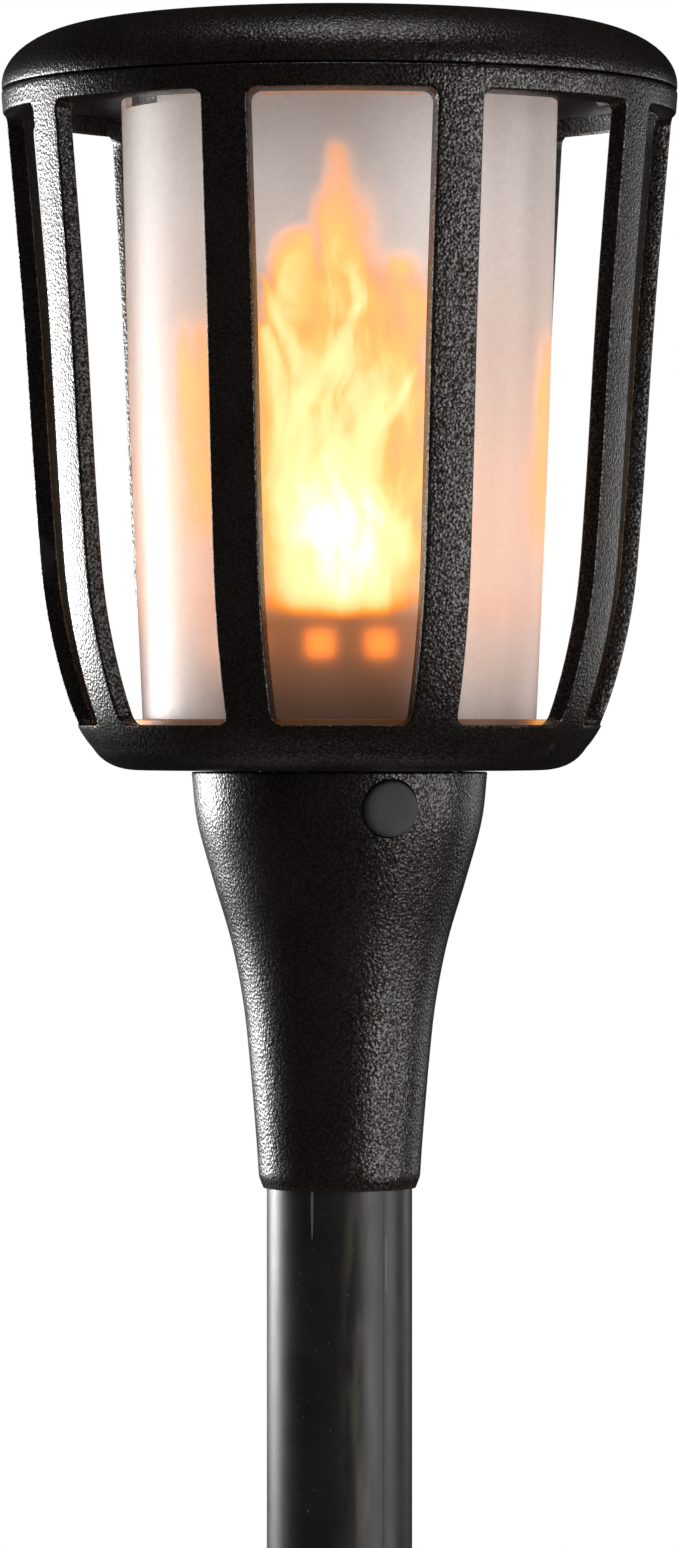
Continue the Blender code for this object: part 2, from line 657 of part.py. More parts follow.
def make_battery_pad(name, low):
    """Foam collar between the cell and the carrier, with a hole for the lead."""
    outer = CARRIER_BORE_R - GAP
    inner = BATTERY_R + GAP
    high = low + PAD_HEIGHT
    foam = material("foam", (0.06, 0.06, 0.06), 0.95)
    pad = lathe(name, [(inner, low), (outer, low), (outer, high), (inner, high)], 20, foam)
    hole = rods(name + "_hole", LEAD_CHANNEL_R, (LEAD_SIDE,), 1.8 * MM, low - OVERCUT, high + OVERCUT, 10)
    combine(pad, hole, "DIFFERENCE")
    return pad


def make_lead(name, points, radius, colour):
    """Insulated lead along a smooth curve through the given points."""
    spans = 3
    ends = [2 * Vector(points[0]) - Vector(points[1])]
    ends += [Vector(p) for p in points]
    ends += [2 * ends[-1] - ends[-2]]
    route = []
    for i in range(1, len(ends) - 2):
        a, b, c, d = ends[i - 1:i + 3]
        for step in range(spans):
            t = step / spans
            route.append(0.5 * (2 * b + (c - a) * t + (2 * a - 5 * b + 4 * c - d) * t ** 2
                                + (3 * b - a - 3 * c + d) * t ** 3))
    route.append(ends[-2])
    curve = bpy.data.curves.new(name, "CURVE")
    curve.dimensions = "3D"
    curve.bevel_depth = radius
    curve.bevel_resolution = 1
    curve.use_fill_caps = True
    spline = curve.splines.new("POLY")
    spline.points.add(len(route) - 1)
    for point, place in zip(spline.points, route):
        point.co = (*place, 1.0)
    curve.materials.append(material(name + "_sheath", colour, 0.5))
    obj = bpy.data.objects.new(name, curve)
    bpy.context.scene.collection.objects.link(obj)
    return obj


def make_leads():
    """Leads from the contact socket and from the cell down to the board's connector."""
    connector_top = BOARD_TOP - 2.0 * MM
    channel = -LEAD_CHANNEL_R
    socket_bottom = SOCKET_SEAT - SOCKET_LENGTH
    panel_route = [(0, 0, socket_bottom - 0.5 * MM), (0, -1.5 * MM, socket_bottom - 7 * MM)]
    panel_route += [(0, -11 * MM, SILL + 60 * MM), (0, channel, SILL + 50 * MM)]
    panel_route += [(0, channel, SILL + 32 * MM), (0, channel, SILL + 12 * MM)]
    panel_route += [(0, -13.2 * MM, SILL + 1 * MM), (0, -LEAD_HOLE_R, SILL - 5 * MM)]
    panel_route += [(0, -12.4 * MM, SILL - 8.5 * MM), (0, BOARD_BACK_Y + 2.8 * MM, connector_top + 0.5 * MM)]
    panel = make_lead("panel_lead", panel_route, 1.1 * MM, (0.35, 0.02, 0.02))
    cell_route = [(0, 0, BATTERY_BOTTOM - 0.5 * MM), (0, 0.3 * MM, SILL - 6 * MM)]
    cell_route += [(0.5 * MM, 1.5 * MM, SILL - 12 * MM), (1.5 * MM, 1.0 * MM, SILL - 19 * MM)]
    cell_route += [(1.5 * MM, -4.0 * MM, SILL - 20.5 * MM)]
    cell_route += [(1.5 * MM, BOARD_BACK_Y + 4.6 * MM, SILL - 16 * MM)]
    cell = make_lead("battery_lead", cell_route, 0.9 * MM, (0.02, 0.02, 0.02))
    return panel, cell


# ---------------------------------------------------------------- diffuser and lid

def make_diffuser():
    """Frosted tapered tube with two bayonet notches in its top edge."""
    middle = (DIFFUSER_BOTTOM + DIFFUSER_TOP) / 2
    outer = smooth_curve([(DIFFUSER_BOTTOM_R, DIFFUSER_BOTTOM), (DIFFUSER_MIDDLE_R, middle),
                          (DIFFUSER_TOP_R, DIFFUSER_TOP)], 2)
    inner = [(r - DIFFUSER_WALL, z) for r, z in reversed(outer)]
    frosted = material("frosted_diffuser", (0.78, 0.72, 0.66), 0.45, transmission=0.6)
    diffuser = lathe("diffuser", outer + inner, 40, frosted)
    half = NOTCH_SPAN / 2
    heights = (DIFFUSER_TOP - NOTCH_DEPTH, DIFFUSER_TOP + OVERCUT)
    notches = bmesh.new()
    grooves = bmesh.new()
    groove_r = DIFFUSER_TOP_R - DIFFUSER_WALL + GROOVE_DEPTH
    for side in LUG_ANGLES:
        add_sector(notches, (DIFFUSER_TOP_R - 4.0 * MM, DIFFUSER_TOP_R + OVERCUT), (side - half, side + half),
                   heights)
        add_sector(grooves, (DIFFUSER_TOP_R - 4.5 * MM, groove_r),
                   (side - half - 0.5, side + half + LID_TWIST), heights)
    combine(diffuser, add_object("diffuser_grooves", grooves, None, smooth=False), "DIFFERENCE")
    combine(diffuser, add_object("diffuser_notches", notches, None, smooth=False), "DIFFERENCE")
    return diffuser


def make_lid_base():
    """Plate that closes the lid, with the two bayonet lugs that sit in the diffuser's notches."""
    low = LID_PLATE_BOTTOM
    high = LID_PLATE_TOP
    edge = RIM_R - CAGE_WALL - 0.5 * MM
    plug_hole = PLUG_R + GAP
    profile = [(plug_hole, low), (edge, low), (edge, high), (plug_hole, high)]
    base = lathe("lid_base", profile, RIM_SEGMENTS, grained_black())
    bm = bmesh.new()
    lug_r = DIFFUSER_TOP_R - DIFFUSER_WALL + GROOVE_DEPTH - GAP
    lug_width = 2.0 * MM
    for side in LUG_ANGLES:
        add_sector(bm, (lug_r - lug_width, lug_r), (side - LUG_SPAN / 2, side + LUG_SPAN / 2),
                   (low - NOTCH_DEPTH + 0.2 * MM, low + 1.0 * MM))
    lugs = add_object("bayonet_lugs", bm, None, smooth=False)
    combine(base, lugs, "UNION")
    holes = rods("lid_base_holes", LID_SCREW_CIRCLE_R, PIN_ANGLES, SCREW_R + GAP, low - OVERCUT,
                 high + OVERCUT, SCREW_SEGMENTS)
    combine(base, holes, "DIFFERENCE")
    return base


def make_lid_shell():
    """Rounded cap with a recess for the panel and three screw posts inside."""
    shoulder = (RIM_R - LID_FLAT_R, LID_SHOULDER)
    band_top = LID_BOTTOM + LID_BAND
    outer = [(RIM_R, LID_BOTTOM)]
    outer += arc((LID_FLAT_R, band_top), shoulder, 0, 90, 7)
    ledge_r = RECESS_R - RECESS_LEDGE
    ledge_bottom = RECESS_FLOOR - 2.0 * MM
    inner_radii = (shoulder[0] - LID_WALL, shoulder[1] - LID_WALL)
    inner = arc((LID_FLAT_R, band_top), inner_radii, 90, 0, 4)
    profile = outer + [(RECESS_R, LID_TOP), (RECESS_R, RECESS_FLOOR), (ledge_r, RECESS_FLOOR)]
    profile += [(ledge_r, ledge_bottom), (LID_FLAT_R - 2.0 * MM, ledge_bottom)]
    profile += inner[1:] + [(RIM_R - LID_WALL, LID_BOTTOM)]
    lid = lathe("lid_shell", profile, RIM_SEGMENTS, grained_black())
    post_low = LID_PLATE_TOP + GAP
    posts = rods("lid_posts", LID_SCREW_CIRCLE_R, PIN_ANGLES, 3.2 * MM, post_low, LID_TOP - 2.2 * MM,
                 SCREW_SEGMENTS)
    combine(lid, posts, "UNION")
    holes = rods("lid_post_holes", LID_SCREW_CIRCLE_R, PIN_ANGLES, SCREW_R + GAP, post_low - OVERCUT,
                 post_low + 6.5 * MM, SCREW_SEGMENTS)
    combine(lid, holes, "DIFFERENCE")
    return lid


def make_panel_stack():
    """Solar panel on its gasket, under a clear window that is flush with the lid."""
    outer_r = RECESS_R - GAP
    stack_gap = GAP / 2
    gasket_low = RECESS_FLOOR + stack_gap
    gasket_high = gasket_low + GASKET_THICKNESS
    ring = [(GASKET_BORE_R, gasket_low), (outer_r, gasket_low), (outer_r, gasket_high)]
    ring += [(GASKET_BORE_R, gasket_high)]
    gasket = lathe("panel_gasket", ring, PANEL_SEGMENTS, material("gasket_rubber", (0.03, 0.03, 0.03), 0.8))
    panel_low = gasket_high + stack_gap
    panel_high = panel_low + PANEL_THICKNESS
    cells = material("solar_cells", (0.01, 0.015, 0.05), 0.2)
    disc = rod_profile(outer_r, panel_low, panel_high)
    panel = lathe("solar_panel", disc, PANEL_SEGMENTS, cells, closed=False)
    clear = material("clear_window", (0.85, 0.88, 0.92), 0.1, transmission=0.9)
    pane = rod_profile(outer_r, panel_high + stack_gap, LID_TOP - 0.2 * MM)
    window = lathe("panel_window", pane, PANEL_SEGMENTS, clear, closed=False)
    return gasket, panel, window


def make_lead_plug():
    """Coaxial plug under the lid, on the axis so that the lid can turn in the socket."""
    seat = LID_PLATE_TOP + GAP
    high = seat + 2.0 * MM
    tip = SOCKET_SEAT - PLUG_ENGAGEMENT
    flange_r = 5.0 * MM
    profile = [(0.0, tip), (PLUG_R - 0.6 * MM, tip), (PLUG_R, tip + 0.8 * MM), (PLUG_R, seat)]
    profile += [(flange_r, seat), (flange_r, high), (0.0, high)]
    metal = material("bright_metal", (0.62, 0.61, 0.58), 0.3, metallic=1.0)
    return lathe("lead_plug", profile, 16, metal, closed=False)


def make_lid_lead():
    """Short lead from under the panel to the plug."""
    plug_side = LID_PLATE_TOP + 1.6 * MM
    route = [(5.8 * MM, 0, plug_side), (11 * MM, 0, plug_side + 0.4 * MM)]
    route += [(16 * MM, 3 * MM, plug_side + 1.2 * MM), (19 * MM, 7 * MM, RECESS_FLOOR - 3.2 * MM)]
    route += [(18 * MM, 11 * MM, RECESS_FLOOR - 1.0 * MM)]
    return make_lead("lid_lead", route, 0.7 * MM, (0.35, 0.02, 0.02))


# ---------------------------------------------------------------- assembly

def joint_frame(name, place, parent=None):
    """Empty on a joint's axis, which its moving pieces hang from."""
    empty = bpy.data.objects.new(name, None)
    empty.location = place
    bpy.context.scene.collection.objects.link(empty)
    bpy.context.view_layer.update()
    if parent is not None:
        parent_to(empty, parent)
    return empty


def attach(frame, pieces):
    bpy.context.view_layer.update()
    for piece in pieces:
        parent_to(piece, frame)


def build():
    remove_scene_objects()
    make_stake()
    lower_frame = joint_frame("lower_pole_frame", (0, 0, LOWER_POLE_BOTTOM))
    upper_frame = joint_frame("upper_pole_frame", (0, 0, UPPER_POLE_BOTTOM), lower_frame)
    head_frame = joint_frame("head_frame", (0, 0, NECK_BOTTOM), upper_frame)
    button_frame = joint_frame("button_frame", (0, 0, BUTTON_HEIGHT), head_frame)
    plunger_frame = joint_frame("plunger_frame", (0, 0, BUTTON_HEIGHT), head_frame)
    diffuser_frame = joint_frame("diffuser_frame", (0, 0, DIFFUSER_BOTTOM), head_frame)
    lid_frame = joint_frame("lid_frame", (0, 0, LID_BOTTOM), diffuser_frame)
    attach(lower_frame, [make_tube("lower_pole", LOWER_POLE_BOTTOM, LOWER_POLE_TOP), make_coupler()])
    attach(upper_frame, [make_tube("upper_pole", UPPER_POLE_BOTTOM, UPPER_POLE_TOP)])

    switch, plunger = make_switch()
    head = [make_neck(), make_control_board(), switch, make_cage(), make_core_base()]
    head += [make_carrier(), make_led_array(), make_core_cap(), make_lead_socket(), make_battery()]
    head += [make_battery_pad("battery_pad_lower", PAD_BOTTOMS[0])]
    head += [make_battery_pad("battery_pad_upper", PAD_BOTTOMS[1]), *make_leads()]
    under_head = BOWL_BOTTOM + FLOOR_THICKNESS + GAP + FLANGE_THICKNESS + GAP
    for i, angle in enumerate(PIN_ANGLES, 1):
        x, y = polar(PIN_CIRCLE_R, angle)
        head.append(make_screw(f"head_screw_{i}", (x, y, under_head), (0, 0, -1), 3.0 * MM, 2.0 * MM,
                               SCREW_R, 14 * MM))
    for i, (x, z) in enumerate(board_screw_places(), 1):
        head.append(make_screw(f"board_screw_{i}", (x, BOARD_FRONT_Y - GAP, z), (0, 1, 0), 2.3 * MM,
                               1.4 * MM, 1.2 * MM, 6 * MM))
    attach(head_frame, head)
    attach(button_frame, [make_button()])
    attach(plunger_frame, [plunger])

    attach(diffuser_frame, [make_diffuser()])
    lid = [make_lid_shell(), make_lid_base(), *make_panel_stack(), make_lead_plug(), make_lid_lead()]
    for i, angle in enumerate(PIN_ANGLES, 1):
        x, y = polar(LID_SCREW_CIRCLE_R, angle)
        lid.append(make_screw(f"lid_screw_{i}", (x, y, DIFFUSER_TOP), (0, 0, 1), 2.8 * MM, 1.6 * MM,
                              SCREW_R, 7.5 * MM))
    attach(lid_frame, lid)


build()
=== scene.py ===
"""Looks of the solar flame torch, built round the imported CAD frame. Metres, +Z up, button towards -Y."""
import json
from math import asin, cos, pi, radians, sin

import bmesh
import bpy
import numpy as np
from mathutils import Matrix, Vector

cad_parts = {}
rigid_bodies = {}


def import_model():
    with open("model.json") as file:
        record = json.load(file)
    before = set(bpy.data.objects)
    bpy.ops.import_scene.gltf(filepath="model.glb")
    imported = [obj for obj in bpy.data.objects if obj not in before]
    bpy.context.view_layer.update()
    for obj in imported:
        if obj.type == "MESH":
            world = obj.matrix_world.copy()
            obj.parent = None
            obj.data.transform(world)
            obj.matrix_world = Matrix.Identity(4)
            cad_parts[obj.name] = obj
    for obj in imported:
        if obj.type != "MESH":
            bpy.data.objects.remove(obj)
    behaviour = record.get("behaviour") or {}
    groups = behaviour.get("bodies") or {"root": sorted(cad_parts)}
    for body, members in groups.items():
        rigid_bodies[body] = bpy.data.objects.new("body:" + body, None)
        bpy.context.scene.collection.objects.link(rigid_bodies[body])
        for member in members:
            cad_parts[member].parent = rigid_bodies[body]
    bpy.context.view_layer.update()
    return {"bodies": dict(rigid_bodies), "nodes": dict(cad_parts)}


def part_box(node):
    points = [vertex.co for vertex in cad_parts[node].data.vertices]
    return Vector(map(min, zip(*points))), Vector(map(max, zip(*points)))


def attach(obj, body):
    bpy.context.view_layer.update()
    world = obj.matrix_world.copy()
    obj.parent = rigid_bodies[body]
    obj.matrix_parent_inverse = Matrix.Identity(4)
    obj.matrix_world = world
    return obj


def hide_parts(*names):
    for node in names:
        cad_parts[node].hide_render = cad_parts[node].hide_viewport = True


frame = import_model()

MM = 0.001
HEAD = frame["bodies"]["head"]

# Levels and sizes, read from the frame.
CAGE_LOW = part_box("cage")[0]
NECK_LOW, NECK_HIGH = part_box("neck_housing")
POLE_LOW, POLE_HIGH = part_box("upper_pole")
LOWER_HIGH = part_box("lower_pole")[1]
LID_LOW, LID_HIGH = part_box("lid_shell")
TUBE_LOW, TUBE_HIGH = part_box("diffuser")
BUTTON_LOW, BUTTON_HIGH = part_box("button")
STAKE_LOW, STAKE_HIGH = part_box("stake")
BOWL_DEPTH = 8.7 * MM
SILL = CAGE_LOW.z + BOWL_DEPTH
RIM_R = LID_HIGH.x
BUTTON_Z = (BUTTON_LOW.z + BUTTON_HIGH.z) / 2

# Cage: levels are measured from the sill of the windows.
WINDOW_HEIGHT = 117.4 * MM
CORNER = 2 * MM
WINDOW_MARGIN = 2.5 * MM
SLATS = 9
HALF_SLAT = 4.5 * MM
BOWL_FLOOR = 2.4 * MM
BOWL_HOLE_R = 16 * MM
PIN_CIRCLE_R = 21.5 * MM
PIN_ANGLES = (90.0, 210.0, 330.0)
SCREW_HOLE_R = 1.8 * MM

# Pole, and the spigots that hold it.
POLE_R = 14 * MM
POLE_BORE_R = 12.4 * MM
SPIGOT_R = 12.1 * MM
SPIGOT_BORE_R = 10.1 * MM
COLLAR_TOP = 4 * MM
POLE_SEAM = 37.7

# Diffuser and lid. Angles are in degrees.
NOTCH_SPAN = 21.0
LID_TWIST = 15.0
LUG_ANGLES = (3.5, 183.5)
FLANGE_R = 41.6 * MM
DOME_R = 46 * MM
LID_SKIN = 2.4 * MM
LID_POST_CIRCLE_R = 52.5 * MM

# The side that the photograph shows: degrees from -Y, and the angle about Z.
VIEW_AZIMUTH = -20.5
FACING = radians(-90.0 + VIEW_AZIMUTH)


# ---------------------------------------------------------------- mesh helpers

def smooth_curve(points, steps):
    """Catmull-Rom curve through points, with the given number of steps in each span."""
    pts = [Vector(p) for p in points]
    ends = [2 * pts[0] - pts[1], *pts, 2 * pts[-1] - pts[-2]]
    curve = []
    for i in range(1, len(ends) - 2):
        a, b, c, d = ends[i - 1:i + 3]
        for step in range(steps):
            t = step / steps
            curve.append(0.5 * (2 * b + (c - a) * t + (2 * a - 5 * b + 4 * c - d) * t ** 2
                                + (3 * b - a - 3 * c + d) * t ** 3))
    curve.append(pts[-1])
    return [tuple(p) for p in curve]


def bend(start, corner, end, steps):
    """Quadratic curve from start to end, drawn towards the corner; both ends are included."""
    start, corner, end = Vector(start), Vector(corner), Vector(end)
    shares = [k / steps for k in range(steps + 1)]
    return [tuple((1 - t) ** 2 * start + 2 * t * (1 - t) * corner + t ** 2 * end) for t in shares]


def rounded(corners, closed=True):
    """Polyline of (r, z, fillet radius) corners, with each fillet drawn as a curve."""
    out = []
    count = len(corners)
    for i, corner in enumerate(corners):
        here = Vector(corner[:2])
        radius = corner[2] if len(corner) > 2 else 0.0
        at_end = not closed and i in (0, count - 1)
        if radius <= 0 or at_end:
            out.append(tuple(here))
            continue
        to_a = Vector(corners[i - 1][:2]) - here
        to_b = Vector(corners[(i + 1) % count][:2]) - here
        radius = min(radius, 0.45 * to_a.length, 0.45 * to_b.length)
        a = here + to_a.normalized() * radius
        b = here + to_b.normalized() * radius
        out += bend(a, here, b, 4)
    return out


def arc(centre, radii, start, end, steps):
    turn = [radians(start + (end - start) * i / steps) for i in range(steps + 1)]
    return [(centre[0] + radii[0] * cos(a), centre[1] + radii[1] * sin(a)) for a in turn]


def shade(mesh):
    mesh.shade_smooth()
    mesh.set_sharp_from_angle(angle=radians(38))


def finish_mesh(name, bm):
    bmesh.ops.remove_doubles(bm, verts=bm.verts, dist=2e-6)
    bmesh.ops.recalc_face_normals(bm, faces=bm.faces)
    mesh = bpy.data.meshes.new(name)
    bm.to_mesh(mesh)
    bm.free()
    obj = bpy.data.objects.new(name, mesh)
    bpy.context.scene.collection.objects.link(obj)
    shade(mesh)
    return obj


def join_rows(bm, rows, around=True):
    """Quads between each row of vertices and the next."""
    for low, high in zip(rows, rows[1:]):
        count = len(low)
        for i in range(count if around else count - 1):
            j = (i + 1) % count
            bm.faces.new((low[i], low[j], high[j], high[i]))


def lathe(name, profile, segments=128, closed=True):
    """Turn (radius, height) points about Z."""
    bm = bmesh.new()
    rings = []
    for r, z in profile:
        if r < 1e-7:
            rings.append([bm.verts.new((0, 0, z))] * segments)
        else:
            rings.append([bm.verts.new((r * cos(2 * pi * k / segments), r * sin(2 * pi * k / segments), z))
                          for k in range(segments)])
    pairs = list(zip(rings, rings[1:]))
    if closed:
        pairs.append((rings[-1], rings[0]))
    for low, high in pairs:
        for k in range(segments):
            m = (k + 1) % segments
            face = list(dict.fromkeys((low[k], low[m], high[m], high[k])))
            if len(face) > 2:
                bm.faces.new(face)
    return finish_mesh(name, bm)


def box_mesh(bm, low, high):
    low, high = Vector(low), Vector(high)
    placement = Matrix.Translation((low + high) / 2) @ Matrix.Diagonal((*(high - low), 1.0))
    bmesh.ops.create_cube(bm, size=1.0, matrix=placement)


def rod_mesh(bm, place, radius, depth, segments):
    bmesh.ops.create_cone(bm, cap_ends=True, segments=segments, radius1=radius, radius2=radius, depth=depth,
                          matrix=place)


def polar(radius, angle):
    return radius * cos(radians(angle)), radius * sin(radians(angle))


def rods(name, circle_r, angles, radius, low, high, segments=32):
    bm = bmesh.new()
    for angle in angles:
        place = Matrix.Translation((*polar(circle_r, angle), (low + high) / 2))
        rod_mesh(bm, place, radius, high - low, segments)
    return finish_mesh(name, bm)


def sectors(name, radii, spans, heights, steps=8):
    """Parts of a ring between two radii, two angles in degrees and two heights."""
    bm = bmesh.new()
    for a0, a1 in spans:
        angles = [a0 + (a1 - a0) * i / steps for i in range(steps + 1)]
        plan = [polar(radii[1], a) for a in angles] + [polar(radii[0], a) for a in reversed(angles)]
        low = [bm.verts.new((x, y, heights[0])) for x, y in plan]
        high = [bm.verts.new((x, y, heights[1])) for x, y in plan]
        bm.faces.new(low)
        bm.faces.new(high)
        join_rows(bm, [low, high])
    return finish_mesh(name, bm)


def apply_modifiers(obj):
    """The object's mesh becomes what its modifiers make of it."""
    bpy.context.view_layer.update()
    evaluated = obj.evaluated_get(bpy.context.evaluated_depsgraph_get())
    mesh = bpy.data.meshes.new_from_object(evaluated)
    obj.modifiers.clear()
    old = obj.data
    obj.data = mesh
    bpy.data.meshes.remove(old)
    mesh.name = obj.name
    shade(mesh)
    return obj


def combine(target, *tools):
    """Boolean each (tool, operation) into the target and remove the tools."""
    for tool, operation in tools:
        modifier = target.modifiers.new(tool.name, "BOOLEAN")
        modifier.operation = operation
        modifier.object = tool
        modifier.solver = "EXACT"
    apply_modifiers(target)
    for tool, _ in tools:
        bpy.data.objects.remove(tool)
    return target


def soften(obj, width, angle):
    """Round every edge sharper than the angle."""
    bevel = obj.modifiers.new("soft_edges", "BEVEL")
    bevel.width = width
    bevel.segments = 3
    bevel.limit_method = "ANGLE"
    bevel.angle_limit = radians(angle)
    bevel.harden_normals = False
    return apply_modifiers(obj)


def dress(obj, material, body, slot, *nodes):
    """Give a finished piece its material and body, and hide the CAD nodes it stands for."""
    obj.data.materials.clear()
    obj.data.materials.append(material)
    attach(obj, body)
    if nodes:
        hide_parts(*nodes)
    return obj


# ---------------------------------------------------------------- node helpers

class Graph:
    """Short names for building the nodes of one material or world."""

    def __init__(self, name, world=False):
        library = bpy.data.worlds if world else bpy.data.materials
        self.owner = library.new(name)
        self.owner.use_nodes = True
        self.tree = self.owner.node_tree

    def put(self, socket, value):
        if isinstance(value, bpy.types.NodeSocket):
            self.tree.links.new(value, socket)
        else:
            if isinstance(value, (tuple, list)) and len(value) == 3 and len(socket.default_value) == 4:
                value = (*value, 1.0)
            socket.default_value = value

    def node(self, kind, inputs=None, **settings):
        made = self.tree.nodes.new("ShaderNode" + kind)
        for key, value in settings.items():
            setattr(made, key, value)
        for key, value in (inputs or {}).items():
            if value is not None:
                self.put(made.inputs[key], value)
        return made

    def math(self, operation, a, b=None, c=None, clamp=False):
        return self.node("Math", {0: a, 1: b, 2: c}, operation=operation, use_clamp=clamp).outputs[0]

    def add(self, a, b, clamp=False):
        return self.math("ADD", a, b, clamp=clamp)

    def sub(self, a, b):
        return self.math("SUBTRACT", a, b)

    def mul(self, a, b, clamp=False):
        return self.math("MULTIPLY", a, b, clamp=clamp)

    def abs(self, a):
        return self.math("ABSOLUTE", a)

    def vmath(self, operation, a, b=None, scale=None):
        return self.node("VectorMath", {0: a, 1: b, "Scale": scale}, operation=operation).outputs["Vector"]

    def span(self, value, low, high, to_low=0.0, to_high=1.0):
        """Smooth step from one level to another as the value goes from low to high."""
        inputs = {"Value": value, "From Min": low, "From Max": high, "To Min": to_low, "To Max": to_high}
        return self.node("MapRange", inputs, interpolation_type="SMOOTHSTEP").outputs["Result"]

    def mix(self, factor, a, b):
        return self.node("Mix", {0: factor, 6: a, 7: b}, data_type="RGBA").outputs[2]

    def ramp(self, value, *stops):
        made = self.node("ValToRGB", {"Fac": value})
        band = made.color_ramp
        while len(band.elements) < len(stops):
            band.elements.new(1.0)
        for element, (place, colour) in zip(band.elements, stops):
            element.position = place
            element.color = (*colour, 1.0)
        return made.outputs["Color"]

    def place(self, anchor=None):
        """Coordinates in the row frame, or in the frame of the anchor body."""
        made = self.node("TexCoord")
        if anchor is not None:
            made.object = anchor
        return made.outputs["Object"]

    def stretched(self, place, share):
        """Coordinates that make a texture longer along Z, where share is below 1."""
        return self.vmath("MULTIPLY", place, (1.0, 1.0, share))

    def split(self, vector):
        return self.node("SeparateXYZ", {0: vector}).outputs

    def noise(self, vector, scale, detail=2.0, roughness=0.5, output="Fac"):
        inputs = {"Vector": vector, "Scale": scale, "Detail": detail, "Roughness": roughness}
        return self.node("TexNoise", inputs).outputs[output]

    def cells(self, vector, scale, output="Distance"):
        return self.node("TexVoronoi", {"Vector": vector, "Scale": scale}).outputs[output]

    def bump(self, height, distance, strength):
        inputs = {"Height": height, "Distance": distance, "Strength": strength}
        return self.node("Bump", inputs).outputs["Normal"]

    def towards(self, xyz, angle):
        """How far a point lies from the Z axis in a direction, at an angle about Z."""
        return self.add(self.mul(xyz["X"], cos(angle)), self.mul(xyz["Y"], sin(angle)))

    def radius(self, xyz):
        return self.math("SQRT", self.add(self.mul(xyz["X"], xyz["X"]), self.mul(xyz["Y"], xyz["Y"])))

    def rise(self, xyz):
        """Height over the sill of the windows, in millimetres."""
        return self.math("MULTIPLY_ADD", xyz["Z"], 1.0 / MM, -SILL / MM)

    def in_third(self, turn):
        """An angle folded into one third of a turn, from -60 to 60 degrees."""
        third = radians(120)
        return self.sub(self.math("FLOORED_MODULO", self.add(turn, third / 2), third), third / 2)

    def surface(self, **inputs):
        """Set the shader's sockets, named with underscores, and return the finished material."""
        shader = self.tree.nodes["Principled BSDF"]
        for key, value in inputs.items():
            self.put(shader.inputs[key.replace("_", " ")], value)
        return self.owner


# ---------------------------------------------------------------- materials

def edge_wear(g):
    """Mask of convex edges, where handling has polished the plastic."""
    return g.span(g.node("NewGeometry").outputs["Pointiness"], 0.53, 0.62)


def grained_black():
    """Spark-eroded ABS: a fine pebble grain that glitters in the highlights."""
    g = Graph("grained_black_abs")
    place = g.place()
    pebbles = g.cells(place, 1600.0)
    fine = g.noise(place, 2600.0, 1.0, 0.5)
    height = g.math("MULTIPLY_ADD", pebbles, 0.8, g.mul(fine, 0.4))
    broad = g.noise(place, 45.0, 3.0, 0.55)
    glint = g.span(g.noise(place, 1900.0, 2.0, 0.6), 0.42, 0.62)
    rough = g.add(g.span(broad, 0.3, 0.7, 0.29, 0.35), g.mul(glint, -0.01))
    wear = edge_wear(g)
    colour = g.mix(g.span(broad, 0.35, 0.7), (0.0034, 0.0021, 0.0013), (0.0054, 0.0036, 0.0024))
    colour = g.mix(g.mul(glint, 0.35), colour, (0.011, 0.0098, 0.0090))
    colour = g.mix(g.mul(wear, 0.35), colour, (0.022, 0.021, 0.020))
    tint = g.mix(glint, (0.11, 0.08, 0.06), (1.0, 1.0, 0.99))
    return g.surface(Base_Color=colour, Roughness=rough, Normal=g.bump(height, 0.11 * MM, 0.85), IOR=1.72,
                     Specular_Tint=tint)


def smooth_black(name="smooth_black_abs", seam=None):
    """Black plastic with faint lines along its length. A tube has a seam at an angle about Z, with a painted
    shade in its groove and a stain beside it.
    """
    g = Graph(name)
    place = g.place()
    lines = g.noise(g.stretched(place, 0.03), 1400.0, 2.0, 0.6)
    haze = g.noise(place, 60.0, 4.0, 0.6)
    dust = g.math("GREATER_THAN", g.noise(place, 1500.0, 1.0, 0.4), 0.76)
    scratch = g.noise(g.stretched(place, 0.045), 820.0, 1.0, 0.4)
    scratch = g.mul(g.math("GREATER_THAN", scratch, 0.735), g.span(g.noise(place, 38.0, 1.0), 0.5, 0.58))
    rough = g.add(g.span(haze, 0.3, 0.75, 0.33, 0.42), g.mul(lines, 0.05))
    colour = g.mix(g.span(haze, 0.3, 0.7), (0.0050, 0.0049, 0.0050), (0.0090, 0.0086, 0.0082))
    colour = g.mix(g.mul(dust, 0.35), colour, (0.10, 0.095, 0.09))
    colour = g.mix(g.mul(scratch, 0.5), colour, (0.11, 0.10, 0.09))
    height = g.sub(g.add(g.mul(lines, 0.6), g.mul(haze, 0.8)), scratch)
    if seam is not None:
        xyz = g.split(place)
        beside = g.towards(xyz, seam + pi / 2)
        front = g.math("GREATER_THAN", g.towards(xyz, seam), 0.0)
        groove_with_painted_shade = g.mul(g.span(g.abs(beside), 0.10 * MM, 0.30 * MM, 1.0, 0.0), front)
        beside_stain = g.abs(g.add(beside, 5 * MM))
        stain = g.mul(g.span(beside_stain, 0.5 * MM, 4.5 * MM, 1.0, 0.0), front)
        streaky = g.noise(g.stretched(place, 0.12), 420.0, 3.0, 0.6)
        stain = g.mul(stain, g.span(streaky, 0.40, 0.68))
        colour = g.mix(g.mul(stain, 0.8), colour, (0.040, 0.030, 0.020))
        # Painted shade: the seam's groove is coloured nearly black, as well as cut in by the bump.
        colour = g.mix(groove_with_painted_shade, colour, (0.002, 0.002, 0.002))
        height = g.sub(height, g.mul(groove_with_painted_shade, 4.0))
    return g.surface(Base_Color=colour, Roughness=rough, Normal=g.bump(height, 0.02 * MM, 0.6), IOR=1.45)


